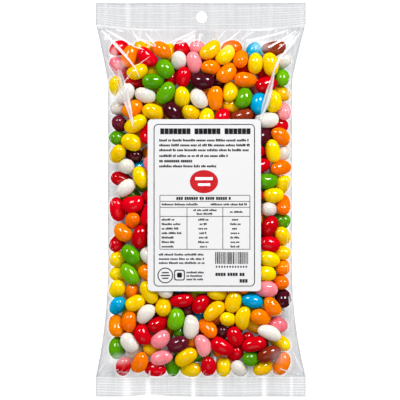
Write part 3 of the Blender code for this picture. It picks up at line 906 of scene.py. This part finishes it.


# Folds in the film: long narrow ridges whose white flash is a painted highlight

# how white each fold flashes is the strength of its painted highlight
folds = (  # start, end, widths at the start, middle and end, and how white they flash
    ((-59.9, 99.9), (-37.4, 75.5), (0.9, 2.0, 0.8), 1.0),
    ((-37.8, 76.0), (-35.2, 69.9), (0.7, 0.4, 0.2), 1.0),
    ((-59.6, 100.2), (-37.7, 87.5), (0.6, 1.4, 0.6), 0.95),
    ((-57.4, 100.0), (-44.4, 96.6), (0.4, 0.9, 1.1), 0.75),
    ((-38.2, 87.8), (-32.6, 86.0), (0.3, 0.8, 0.3), 0.8),
    ((-39.4, 97.2), (-35.6, 90.6), (0.6, 1.6, 0.6), 0.7),
    ((-35.0, 97.0), (-35.4, 91.0), (3.0, 2.2, 0.6), 0.35),
    ((-36.6, 92.6), (-26.2, 87.6), (0.6, 1.6, 0.4), 0.7),
    ((-32.1, 95.9), (-25.7, 87.9), (0.5, 1.2, 0.6), 0.9),
    ((-3.6, 93.6), (-15.4, 89.4), (5.6, 3.0, 0.3), 0.6),
    ((-3.3, 97.1), (-18.0, 90.2), (0.4, 1.2, 0.5), 0.85),
    ((-3.4, 97.0), (-4.2, 88.0), (0.4, 0.7, 0.3), 0.7),
    ((0.4, 95.8), (-2.4, 87.6), (2.6, 1.4, 0.3), 0.6),
    ((-29.4, 82.0), (-37.6, 76.6), (0.2, 0.5, 0.2), 0.6),
    ((-38.6, 74.8), (-47.4, 63.4), (0.2, 0.7, 0.2), 0.65),
    ((-47.4, 63.4), (-40.6, 52.6), (0.2, 0.5, 0.3), 0.5),
    ((-47.2, 74.6), (-42.2, 56.4), (2.6, 3.6, 4.2), 0.66),
    ((-42.4, 56.8), (-39.0, 41.6), (4.2, 2.4, 0.3), 0.9),
    ((-46.2, 74.4), (-38.4, 43.0), (0.2, 0.5, 0.3), 0.8),
    ((-48.2, 68.0), (-39.6, 43.6), (0.2, 0.6, 0.3), 0.8),
    ((-52.4, 77.0), (-46.0, 68.6), (0.6, 2.6, 1.0), 0.4),
    ((59.8, 100.2), (44.7, 80.5), (0.7, 1.3, 1.1), 1.0),
    ((44.9, 80.8), (41.6, 73.4), (1.2, 1.7, 0.5), 1.0),
    ((57.4, 100.4), (29.0, 97.3), (0.4, 0.9, 0.8), 0.8),
    ((57.8, 100.0), (25.8, 91.0), (0.4, 1.1, 1.4), 0.9),
    ((58.0, 99.6), (38.6, 87.4), (0.4, 1.1, 1.2), 0.9),
    ((57.0, 98.2), (44.2, 86.4), (0.3, 0.6, 0.4), 0.8),
    ((58.4, 97.8), (47.2, 82.6), (0.2, 0.5, 0.3), 0.4),
    ((42.0, 75.0), (39.2, 62.2), (0.5, 2.3, 3.8), 0.66),
    ((39.3, 62.6), (34.0, 46.0), (3.8, 4.2, 0.8), 0.75),
    ((42.6, 74.0), (36.4, 50.0), (0.2, 0.5, 0.3), 0.9),
    ((40.6, 66.0), (34.2, 45.4), (0.2, 0.6, 0.3), 0.9),
    ((29.6, 97.3), (22.4, 91.6), (4.0, 2.0, 0.3), 0.45),
    ((22.8, 97.2), (14.6, 90.8), (0.4, 1.2, 0.5), 0.75),
    ((14.0, 97.2), (9.6, 92.0), (0.5, 1.0, 0.3), 0.6),
    ((-59.8, -100.8), (-52.6, -90.4), (0.4, 1.6, 0.4), 0.85),
    ((-60.0, -101.0), (-55.2, -78.0), (0.3, 0.6, 0.3), 0.7),
    ((-59.4, -101.2), (-47.0, -97.4), (0.3, 1.6, 0.4), 0.7),
    ((-47.4, -98.6), (-37.6, -100.2), (0.3, 0.8, 0.2), 0.6),
    ((-57.0, -99.4), (-49.4, -93.8), (0.4, 1.8, 0.6), 0.5),
    ((-19.6, -101.2), (-13.6, -100.6), (0.5, 2.4, 0.4), 0.9),
    ((-29.0, -97.8), (-30.6, -102.0), (0.4, 1.2, 1.4), 0.9),
    ((59.6, -101.0), (52.8, -86.4), (0.4, 1.4, 0.4), 0.85),
    ((59.0, -101.3), (45.4, -96.8), (0.3, 1.6, 0.5), 0.85),
    ((44.0, -99.4), (30.0, -101.2), (0.3, 1.0, 0.3), 0.7),
    ((4.0, -101.2), (12.6, -99.8), (0.4, 1.2, 0.4), 0.7),
)
foldShape = {
    "section": (-1.0, -0.85, -0.6, -0.35, -0.1, 0.1, 0.35, 0.6, 0.85, 1.0),  # places across it
    "tip": 0.2 * mm,
    "rowLength": 1.0 * mm,
    "fewestRows": 4,
    "bow": 0.02,
    "edgeGap": 0.25 * mm,
    "crown": 0.09,
    "crownWidth": 2 * mm,
    "lift": 0.01 * mm,
    "streaks": 0.55,
    "streakTurns": (2.0, 5.0),
    "streakStart": (0.0, 6.0),
    "streakDrift": (-4.0, 4.0),
    "streakedWidth": 2.5 * mm,
}
crinkles = {  # in millimetres
    "seed": 12,
    "ends": (  # how many, where they start, which way they run and how long they are
        (18, pouchTop / mm + 0.4, -1.0, (2.5, 9.0)),
        (38, pouchBottom / mm - 0.2, 1.0, (1.4, 4.6)),
    ),
    "endReach": 56.0,
    "lean": 0.9,
    "endWidths": (0.25, 0.8),
    "endHighlights": (0.15, 0.55),
    "sideCount": 34,
    "sideReach": (-96.0, 90.0),
    "sideLengths": (4.0, 13.0),
    "sideInsets": (0.5, 3.0),
    "sideWidths": (0.25, 0.7),
    "sideHighlights": (0.25, 0.7),
    "tipWidth": 0.15,
    "middleShare": 0.6,
}


# Small creases that leave the seals, leaning to the nearest corner, and others that run along the sides, each
# with a painted white highlight
def seededCrinkles():
    draw = np.random.default_rng(crinkles["seed"])
    tip, most, far = crinkles["tipWidth"], crinkles["lean"], crinkles["endReach"]
    lines = []
    for count, start, way, reach in crinkles["ends"]:
        for place in draw.uniform(-far, far, count):
            length = draw.uniform(*reach)
            lean = draw.uniform(-most, most) - most * place / far
            width = draw.uniform(*crinkles["endWidths"])
            end = (place + lean * length, start + way * length)
            widths = (width, width * crinkles["middleShare"], tip)
            lines.append(((place, start), end, widths, draw.uniform(*crinkles["endHighlights"])))
    for sign in (-1.0, 1.0):
        for place in draw.uniform(*crinkles["sideReach"], crinkles["sideCount"]):
            length = draw.uniform(*crinkles["sideLengths"])
            levels = np.array([place, place + length])
            edges = halfWidth(np.full(2, sign), levels * mm) / mm
            insets = draw.uniform(*crinkles["sideInsets"], 2)
            width = draw.uniform(*crinkles["sideWidths"])
            start, end = zip(sign * (edges - insets), levels)
            lines.append((start, end, (tip, width, tip), draw.uniform(*crinkles["sideHighlights"])))
    return lines


# One ridge's points and flash, a painted highlight: bowed a little to one side, low, pointed at both ends and
# faintly streaked
def foldRidge(start, end, widths, white, draw):
    across = np.array(foldShape["section"])
    start, end = np.array(start) * mm, np.array(end) * mm
    length = np.hypot(*(end - start))
    tip = foldShape["tip"] / length
    inner = max(foldShape["fewestRows"], int(length / foldShape["rowLength"]))
    share = np.concatenate([[0.0], np.linspace(tip, 1.0 - tip, inner), [1.0]])
    width = np.interp(share, (0.0, 0.5, 1.0), widths) * mm
    way = (end - start) / length
    sideways = np.array([-way[1], way[0]])
    bow = foldShape["bow"] * length * np.sin(math.pi * share)
    middle = start + (end - start) * share[:, None] + sideways * bow[:, None]
    place = middle[:, None, :] + sideways * (across[None, :, None] * width[:, None, None] / 2)
    inside = halfWidth(place[..., 0], place[..., 1]) - foldShape["edgeGap"]
    x, y = np.clip(place[..., 0], -inside, inside), place[..., 1]
    crown = foldShape["crown"] * np.minimum(width, foldShape["crownWidth"])[:, None] * (1 - across ** 2)
    z = filmHeight(x, y) + foldShape["lift"] + crown
    shown = ((share > 0.0) & (share < 1.0)).astype(float)[:, None] * (np.abs(across) < 1.0)[None, :]
    turns = draw.uniform(*foldShape["streakTurns"])
    phase = draw.uniform(*foldShape["streakStart"])
    drift = draw.uniform(*foldShape["streakDrift"])
    streaks = np.sin(turns * across[None, :] + phase + drift * share[:, None])
    wide = np.clip(width / foldShape["streakedWidth"], 0.0, 1.0)[:, None]
    sheen = 1.0 - foldShape["streaks"] * wide * (0.5 + 0.5 * streaks)
    return gridPoints(x, y, z), x.shape, (white * shown * sheen).ravel()


def buildFolds():
    draw = np.random.default_rng(crinkles["seed"] + 1)
    points, faces, flashes, count = [], [], [], 0
    for line in list(folds) + seededCrinkles():
        ridge, shape, flash = foldRidge(*line, draw)
        points.append(ridge)
        faces.append(gridFaces(*shape, flip=True) + count)
        flashes.append(flash)
        count += len(ridge)
    piece = newPiece("film_folds", np.concatenate(points), np.concatenate(faces))
    setAttribute(piece, "flash", np.concatenate(flashes))
    setAttribute(piece, "veil", np.zeros(count))
    piece.data.materials.append(filmMaterial("foldedFilm", filmFinish["foldHighlight"], filmFinish["foldGlow"]))
    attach(piece, "root")
    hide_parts("bag")


buildFolds()


# The back seam: a flat fin of film down the middle of the back, whose edges carry a painted white highlight
# and show through the clear header

seam = {
    "left": -3.1 * mm,
    "right": 8.9 * mm,
    "gap": 0.06 * mm,
    "thick": 0.05 * mm,
    "edge": 0.5 * mm,
    "inner": 2 * mm,
    "innerColumns": 6,
    "rows": 170,
    "veil": 0.16,
    "edgeHighlight": 0.75,
    "weldedLoss": 0.5,
}


def buildSeam():
    columns = np.concatenate([
        seam["left"] + np.array([0.0, 0.5, 1.0]) * seam["edge"],
        np.linspace(seam["left"] + seam["inner"], seam["right"] - seam["inner"], seam["innerColumns"]),
        seam["right"] - np.array([1.0, 0.5, 0.0]) * seam["edge"],
    ])
    x = columns[None, :] + np.zeros((seam["rows"], 1))
    y = np.linspace(pouchBottom, pouchTop, seam["rows"])[:, None] + 0 * x
    upper = np.maximum(field.read(filmLower, x, y) - seam["gap"], 2 * seam["thick"])
    points = np.concatenate([gridPoints(x, y, upper), gridPoints(x, y, upper - seam["thick"])])
    piece = newPiece("back_seam", points, sheetFaces(*x.shape))
    edges = np.minimum(columns - seam["left"], seam["right"] - columns)
    # a painted white highlight along both edges, weaker where the seam is welded
    bright = np.where(edges < seam["edge"] * 1.1, seam["edgeHighlight"], 0.0)[None, :]
    bright = bright * (1.0 - seam["weldedLoss"] * weldShare(y, lead=1.0))
    setAttribute(piece, "flash", np.tile(bright.ravel(), 2))
    setAttribute(piece, "veil", np.full(len(points), seam["veil"]))
    piece.data.materials.append(filmMaterial("seamFilm"))
    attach(piece, "root")
    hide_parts("bag")


buildSeam()


# The label: coated paper that lies on the film, with plain generic print

label = {
    "width": labelHigh.x - labelLow.x,
    "length": labelHigh.y - labelLow.y,
    "centreX": (labelHigh.x + labelLow.x) / 2,
    "centreY": (labelHigh.y + labelLow.y) / 2,
    "corner": 2.4 * mm,
    "paper": 0.16 * mm,
    "ink": 0.03 * mm,
    "columns": 66,
    "rows": 100,
    "underMargin": 1 * mm,
    "stand": 0.25 * mm,
    "tighten": 260,
    "firstBlur": 12,
    "lastBlur": 6,
    "lift": 0.16 * mm,
}


# The paper's height: a stiff sheet over the film, smoothed until only broad bumps are left
def drapeLabel():
    near = (np.abs(field.gridX - label["centreX"]) < label["width"] / 2 + label["underMargin"])
    near &= (np.abs(field.gridY - label["centreY"]) < label["length"] / 2 + label["underMargin"])
    level = np.full_like(filmUpper, pouch["heap"] + label["stand"])
    stiff = tighten(level, np.where(near, filmUpper, 0.0), ~near, label["tighten"])
    stiff = np.maximum(blur(stiff, label["firstBlur"]), np.where(near, filmUpper, filmUpper.min()))
    return blur(stiff, label["lastBlur"]) + label["lift"]


labelHeights = drapeLabel()


# A place on the paper, x and y from its centre, lifted above it
def onLabel(x, y, lift):
    x, y = x + label["centreX"], y + label["centreY"]
    return gridPoints(x, y, field.read(labelHeights, x, y) + lift)


# A grid over a rectangle whose corner points are drawn in along a quarter circle
def roundedSheet(width, height, corner, columns, rows):
    x = np.linspace(-1, 1, columns)[None, :] * width / 2 + np.zeros((rows, 1))
    y = np.linspace(-1, 1, rows)[:, None] * height / 2 + np.zeros((1, columns))
    pastX = np.maximum(0.0, np.abs(x) - (width / 2 - corner))
    pastY = np.maximum(0.0, np.abs(y) - (height / 2 - corner))
    reach = np.hypot(pastX, pastY)
    pull = np.where(reach > corner, corner / np.maximum(reach, 1e-12), 1.0)
    x = np.sign(x) * (np.abs(x) - pastX * (1 - pull))
    y = np.sign(y) * (np.abs(y) - pastY * (1 - pull))
    return x, y


paperFinish = {
    "dull": linear(216, 216, 217),
    "bright": linear(224, 224, 225),
    "mottle": (45.0, 3000.0, 0.35, 0.25),
    "level": 0.6,
    "roughness": (0.2, 0.35),  # span and least
    "bump": (0.1, 0.02 * mm),
    "sharpAngle": 50,
}
inkFinish = {
    "mottle": (300.0, 4000.0, 0.6, 0.6),
    "level": 0.3,
    "roughness": 0.4,
}


def paperMaterial():
    material, nodes, links, shader = newMaterial("labelPaper")
    shade, height = addMottle(nodes, paperFinish["mottle"])
    level = maths(nodes, links, "ADD", shade, paperFinish["level"], clamp=True)
    colour = mixColours(nodes, links, level, paperFinish["dull"], paperFinish["bright"])
    links.new(colour, shader.inputs["Base Color"])
    links.new(scaleAdd(nodes, links, height, *paperFinish["roughness"]), shader.inputs["Roughness"])
    addBump(nodes, links, shader, height, *paperFinish["bump"])
    return material


def inkMaterial(name, colour, worn):
    material, nodes, links, shader = newMaterial(name)
    shade, _ = addMottle(nodes, inkFinish["mottle"])
    level = maths(nodes, links, "ADD", shade, inkFinish["level"], clamp=True)
    links.new(mixColours(nodes, links, level, colour, worn), shader.inputs["Base Color"])
    rough = maths(nodes, links, "ADD", shade, inkFinish["roughness"], clamp=True)
    links.new(rough, shader.inputs["Roughness"])
    return material


def buildPaper():
    x, y = roundedSheet(label["width"], label["length"], label["corner"], label["columns"], label["rows"])
    points = np.concatenate([onLabel(x, y, label["paper"]), onLabel(x, y, 0.0)])
    paper = newPiece("label_paper", points, sheetFaces(*x.shape))
    paper.data.set_sharp_from_angle(angle=math.radians(paperFinish["sharpAngle"]))
    paper.data.materials.append(paperMaterial())
    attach(paper, "root")
    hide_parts("label")


buildPaper()

inks = {  # name: full colour, worn colour and layer
    "label_print_dark": (linear(14, 14, 17), linear(32, 32, 36), 1),
    "label_print_grey": (linear(26, 26, 30), linear(50, 50, 56), 1),
    "label_badge_red": (linear(190, 6, 18), linear(202, 14, 26), 1),
    "label_badge_white": (linear(236, 236, 238), linear(246, 246, 248), 2),
}
printSteps = {"bar": 1.5, "ring": 1.2, "turn": 48, "corner": 7}  # millimetres to a face, and steps round


# Collects flat printed shapes, each a small grid laid on the paper, in millimetres from its top left corner
class Ink:
    def __init__(self, name):
        self.name = name
        self.points, self.faces, self.count = [], [], 0

    def add(self, x, y):
        lift = label["paper"] + label["ink"] * inks[self.name][2]
        self.points.append(onLabel(x, y, lift))
        self.faces.append(gridFaces(*x.shape) + self.count)
        self.count += x.size

    def bar(self, left, right, middle, height):
        columns = max(2, int((right - left) / printSteps["bar"]) + 2)
        rows = max(2, int(height / printSteps["bar"]) + 2)
        x = np.linspace(left, right, columns) * mm - label["width"] / 2
        y = label["length"] / 2 - (middle + np.linspace(height / 2, -height / 2, rows)) * mm
        self.add(x[None, :] + 0 * y[:, None], y[:, None] + 0 * x[None, :])

    def upright(self, place, top, bottom, width):
        self.bar(place - width / 2, place + width / 2, (top + bottom) / 2, bottom - top)

    # A band between two outlines, round or squared by the power; an inner size of 0 fills it
    def ring(self, centreX, centreY, outer, inner, squash=1.0, power=2.0):
        turn = np.linspace(0, 2 * math.pi, printSteps["turn"] + 1)
        reach = (np.abs(np.cos(turn)) ** power + np.abs(np.sin(turn)) ** power) ** (-1 / power)
        bands = max(2, int((outer - inner) / printSteps["ring"]) + 2)
        radius = np.linspace(outer, max(inner, 0.01), bands)[:, None] * mm
        x = radius * (np.cos(turn) * reach)[None, :] + centreX * mm - label["width"] / 2
        y = radius * (np.sin(turn) * reach)[None, :] * squash - centreY * mm + label["length"] / 2
        self.add(x[:, ::-1], y[:, ::-1])

    # A thin rounded border, a margin in from the label's edge
    def frame(self, marginX, marginY, line, rounding):
        turn = []
        halfX, halfY = label["width"] / 2 - marginX * mm, label["length"] / 2 - marginY * mm
        radius = rounding * mm
        for number, (signX, signY) in enumerate(((1, 1), (-1, 1), (-1, -1), (1, -1))):
            corner = (signX * (halfX - radius), signY * (halfY - radius))
            for angle in np.linspace(number * math.pi / 2, (number + 1) * math.pi / 2, printSteps["corner"]):
                turn.append((*corner, math.cos(angle), math.sin(angle)))
        turn.append(turn[0])
        outline = []
        for first, second in zip(turn, turn[1:]):
            gap = math.hypot(second[0] - first[0], second[1] - first[1])
            for share in np.linspace(0, 1, max(1, int(gap / (printSteps["bar"] * mm))), endpoint=False):
                outline.append([a + (b - a) * share for a, b in zip(first, second)])
        outline.append(list(turn[0]))
        outline = np.array(outline).T
        reach = np.array([radius, radius - line * mm])[:, None]
        self.add((outline[0] + reach * outline[2])[:, ::-1], (outline[1] + reach * outline[3])[:, ::-1])

    def finish(self):
        piece = newPiece(self.name, np.concatenate(self.points), np.concatenate(self.faces))
        piece.data.materials.append(inkMaterial(self.name.replace("_", ""), *inks[self.name][:2]))
        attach(piece, "root")


lettering = {  # height, a letter's width, the gap between words, and whether all are capitals
    "text": (1.45, 0.9, 0.6, False),
    "subtitle": (1.4, 1.1, 0.7, True),
    "title": (1.7, 1.3, 0.8, True),
    "small": (1.2, 0.86, 0.5, False),
    "smaller": (1.1, 0.86, 0.5, False),
    "figures": (1.2, 0.95, 0.4, False),
    "wide": (1.2, 0.86, 0.6, False),
    "large": (1.8, 1.5, 0.9, True),
    "largest": (2.0, 1.6, 0.6, True),
}
letterShapes = {"share": 0.84, "heights": (0.74, 0.74, 1.0), "word": (2, 9), "figure": (2, 5)}
layout = {  # in millimetres from the label's top left corner
    "seed": 31,
    "frame": (3.4, 2.7, 0.5, 2.6),  # margins, line and corner
    "headline": ((7.2, 7), (26.8, 6), (44.0, 6)),  # where each word starts, and its blocks
    "headlineBlock": (2.5, 2.3, 6.9, 3.3),  # pitch, width, middle and height
    "list": (  # lettering, left, right and middle
        ("text", 6.6, 58.6, 12.0), ("text", 6.6, 58.6, 14.8), ("text", 6.6, 58.6, 17.6),
        ("text", 6.6, 46.0, 20.9), ("subtitle", 6.6, 26.2, 24.0), ("text", 6.6, 39.6, 26.8),
    ),
    "badge": (32.2, 35.7, 8.1, 0.0, 0.82),
    "badgeBars": ((27.2, 37.2, 34.0, 1.7), (28.8, 35.8, 37.4, 1.5)),
    "lowerLines": (("wide", 6.4, 32.8, 77.4), ("wide", 6.4, 32.8, 79.9), ("wide", 6.4, 32.8, 82.2)),
    "round": (10.1, 89.4, 4.5, 3.9),
    "roundBars": ((8.1, 12.1, 87.8, 0.7), (7.5, 12.7, 89.4, 0.7), (8.3, 11.9, 91.0, 0.7)),
    "squares": ((18.2, 89.2, 3.1, 2.5), (18.2, 89.2, 1.4, 0.0)),
    "squarePower": 6.0,
    "notes": (("small", 22.2, 32.4, 87.6), ("small", 22.2, 32.4, 89.6), ("small", 22.2, 32.4, 91.6)),
    "largeLines": (("large", 38.8, 57.0, 88.8), ("largest", 52.6, 58.8, 92.5)),
}
table = {
    "left": 7.0,
    "right": 58.5,
    "levels": (43.5, 47.0, 50.4, 55.6, 74.4),
    "columns": (22.5, 43.0),
    "line": 0.34,
    "title": (("title", 16.4, 48.6, 45.3),),
    "headings": (
        ("small", 8.0, 30.0, 48.7), ("small", 36.0, 57.0, 48.7), ("smaller", 26.0, 40.0, 52.0),
        ("smaller", 28.0, 38.0, 54.1), ("smaller", 47.0, 55.0, 53.0),
    ),
    "rows": 7,
    "firstRow": 57.4,
    "rowPitch": 2.57,
    "names": (8.0, (7.0, 12.0)),  # left, and how long
    "figures": (32.0, 50.4),
    "figureHalves": (2.0, 3.2),
}
stripes = {
    "left": 38.6,
    "right": 57.6,
    "top": 76.0,
    "bottom": 82.8,
    "widths": (0.18, 0.3, 0.45, 0.62),
    "gaps": (0.2, 0.3, 0.42),
    "blocks": (12, 39.0, 1.55, 0.85, 84.4, 1.1),  # number, left, pitch, width, middle and height
}


# A line of print as plain blocks: words of uneven length, each block a letter's width
def greekedLine(ink, draw, style, left, right, middle, word=letterShapes["word"]):
    height, letter, gap, capitals = lettering[style]
    place = left
    while place < right - letter:
        for _ in range(int(draw.integers(*word))):
            if place + letter > right:
                break
            tall = height if capitals else height * draw.choice(letterShapes["heights"])
            ink.bar(place, place + letter * letterShapes["share"], middle + (height - tall) / 2, tall)
            place += letter
        place += gap


def greekedLines(ink, draw, lines):
    for line in lines:
        greekedLine(ink, draw, *line)


def buildTable(dark, grey, draw):
    top, bottom = table["levels"][0], table["levels"][-1]
    for level in table["levels"]:
        dark.bar(table["left"], table["right"], level, table["line"])
    for place in (table["left"], table["right"]):
        dark.upright(place, top, bottom, table["line"])
    for place in table["columns"]:
        dark.upright(place, table["levels"][2], bottom, table["line"])
    greekedLines(dark, draw, table["title"])
    greekedLines(grey, draw, table["headings"])
    left, lengths = table["names"]
    for row in range(table["rows"]):
        middle = table["firstRow"] + row * table["rowPitch"]
        greekedLine(grey, draw, "small", left, left + draw.uniform(*lengths), middle)
        for centre in table["figures"]:
            half = draw.uniform(*table["figureHalves"])
            greekedLine(grey, draw, "figures", centre - half, centre + half, middle, letterShapes["figure"])


# A panel of upright stripes in four uneven widths, with short blocks under it
def buildStripes(dark, draw):
    place = stripes["left"]
    while place < stripes["right"]:
        width = draw.choice(stripes["widths"])
        dark.upright(place + width / 2, stripes["top"], stripes["bottom"], width)
        place += width + draw.choice(stripes["gaps"])
    count, left, pitch, width, middle, height = stripes["blocks"]
    for number in range(count):
        start = left + number * pitch
        dark.bar(start, start + width, middle, height)


def buildPrint():
    draw = np.random.default_rng(layout["seed"])
    dark, grey, red, pale = (Ink(name) for name in inks)
    dark.frame(*layout["frame"])
    pitch, width, middle, height = layout["headlineBlock"]
    for start, blocks in layout["headline"]:
        for number in range(blocks):
            dark.bar(start + pitch * number, start + pitch * number + width, middle, height)
    greekedLines(dark, draw, layout["list"])
    red.ring(*layout["badge"])
    for bar in layout["badgeBars"]:
        pale.bar(*bar)
    buildTable(dark, grey, draw)
    greekedLines(grey, draw, layout["lowerLines"])
    buildStripes(dark, draw)
    dark.ring(*layout["round"])
    for bar in layout["roundBars"]:
        dark.bar(*bar)
    for square in layout["squares"]:
        dark.ring(*square, power=layout["squarePower"])
    greekedLines(grey, draw, layout["notes"])
    greekedLines(dark, draw, layout["largeLines"])
    for ink in (dark, grey, red, pale):
        ink.finish()


buildPrint()
print("label printed")


# The stage: pale floor, soft studio light, and a camera straight above

stage = {
    "floorHalf": 8.0,
    "floorGreys": (0.1, 0.12),
    "floorMottle": (3.0, 60.0, 0.06, 0.02),
    "floorRoughness": 0.9,
    "floorGlow": 1.1,
    # the glow-free box under the heap, where the glow is mostly left out, is a painted shadow
    "glowFreeHalf": (44.0 * mm, 88.0 * mm),
    "glowFreeMiddle": (0.0, -6.0 * mm),
    "glowFade": 7.0 * mm,
    "glowUnderHeap": 0.12,
    "skyGreys": (0.55, 0.45),  # at the horizon and above
    "keyLights": (0.28, 0.52),  # left and right
    "keySizes": (0.76, 0.9),
    "lampDistance": 2.0,
    "keyZenith": 48.0,
    "keyTurn": 38.0,
    "fillLight": 0.06,
    "fillSize": 1.8,
    "fillZenith": 45.0,
    "fillTurn": 180.0,
    "cameraHeight": 4.0,
    "cameraClip": (0.05, 20.0),
    "sensorWidth": 36.0,
    "photoSide": 400.0,
    "photoScale": 0.5744 * mm,
    "bagCentrePixel": (200.8, 199.8),
}


def greyPair(levels):
    return [(level, level, level) for level in levels]


# The table glows evenly around the bag, and not under its heap, which paints a shadow there: the distance
# outside a box, over the fade's width
def floorGlow(nodes, links):
    place = nodes.new("ShaderNodeTexCoord")
    parts = nodes.new("ShaderNodeSeparateXYZ")
    links.new(place.outputs["Object"], parts.inputs[0])
    outside = []
    for axisName, reach, middle in zip("XY", stage["glowFreeHalf"], stage["glowFreeMiddle"]):
        offset = maths(nodes, links, "SUBTRACT", parts.outputs[axisName], middle)
        away = maths(nodes, links, "ABSOLUTE", offset, 0.0)
        outside.append(maths(nodes, links, "SUBTRACT", away, reach))
    far = maths(nodes, links, "MAXIMUM", *outside)
    near = maths(nodes, links, "DIVIDE", far, stage["glowFade"], clamp=True)
    share = maths(nodes, links, "MAXIMUM", near, stage["glowUnderHeap"])
    return maths(nodes, links, "MULTIPLY", share, stage["floorGlow"])


def buildFloor():
    half = stage["floorHalf"]
    points = [(-half, -half, 0), (half, -half, 0), (half, half, 0), (-half, half, 0)]
    floor = newPiece("floor", points, [(0, 1, 2, 3)], rough=True)
    material, nodes, links, shader = newMaterial("paleFloor")
    shade, _ = addMottle(nodes, stage["floorMottle"])
    level = maths(nodes, links, "ADD", shade, 0.5)
    links.new(mixColours(nodes, links, level, *greyPair(stage["floorGreys"])), shader.inputs["Base Color"])
    shader.inputs["Emission Color"].default_value = (1.0, 1.0, 1.0, 1.0)
    links.new(floorGlow(nodes, links), shader.inputs["Emission Strength"])
    shader.inputs["Roughness"].default_value = stage["floorRoughness"]
    shader.inputs["Specular IOR Level"].default_value = 0.0
    floor.data.materials.append(material)


def buildWorld():
    world = bpy.data.worlds.new("studio")
    bpy.context.scene.world = world
    world.use_nodes = True
    nodes, links = world.node_tree.nodes, world.node_tree.links
    background = nodes["Background"]
    place = nodes.new("ShaderNodeTexCoord")
    parts = nodes.new("ShaderNodeSeparateXYZ")
    links.new(place.outputs["Generated"], parts.inputs[0])
    rise = maths(nodes, links, "MAXIMUM", parts.outputs["Z"], 0.0)
    links.new(mixColours(nodes, links, rise, *greyPair(stage["skyGreys"])), background.inputs["Color"])
    background.inputs["Strength"].default_value = 1.0
    world.cycles_visibility.glossy = False  # the even light would grey the beans if it showed in their coats


# light is the share of full brightness that the lamp alone gives a white sheet at the origin
def addSoftbox(name, turn, zenith, distance, size, light):
    turn, zenith = math.radians(turn), math.radians(zenith)
    lamp = bpy.data.lights.new(name, "AREA")
    lamp.shape = "DISK"
    lamp.size = size
    lamp.energy = light * math.pi ** 2 * distance ** 2 / math.cos(zenith)
    holder = bpy.data.objects.new(name, lamp)
    way = np.array([math.sin(turn) * math.sin(zenith), math.cos(turn) * math.sin(zenith), math.cos(zenith)])
    holder.location = way * distance
    holder.rotation_euler = (zenith, 0.0, math.pi - turn)
    holder.visible_camera = False
    bpy.context.scene.collection.objects.link(holder)


# The bag's outline, at the seals' height, comes out at the photo's scale and place
def buildCamera():
    height, scale = stage["cameraHeight"], stage["photoScale"]
    centre = stage["photoSide"] / 2
    camera = bpy.data.cameras.new("camera")
    holder = bpy.data.objects.new("camera", camera)
    camera.sensor_width = stage["sensorWidth"]
    camera.lens = camera.sensor_width * (height - pouch["sealHeight"]) / (stage["photoSide"] * scale)
    camera.clip_start, camera.clip_end = stage["cameraClip"]
    pixelX, pixelY = stage["bagCentrePixel"]
    holder.location = ((centre - pixelX) * scale, (pixelY - centre) * scale, height)
    bpy.context.scene.collection.objects.link(holder)
    bpy.context.scene.camera = holder


buildFloor()
buildWorld()
distance = stage["lampDistance"]
for name, side, light, size in zip(("key_left", "key_right"), (-1, 1), stage["keyLights"], stage["keySizes"]):
    addSoftbox(name, side * stage["keyTurn"], stage["keyZenith"], distance, size, light)
addSoftbox("fill", stage["fillTurn"], stage["fillZenith"], distance, stage["fillSize"], stage["fillLight"])
buildCamera()
bpy.context.scene.view_settings.view_transform = "Standard"
print("stage set")
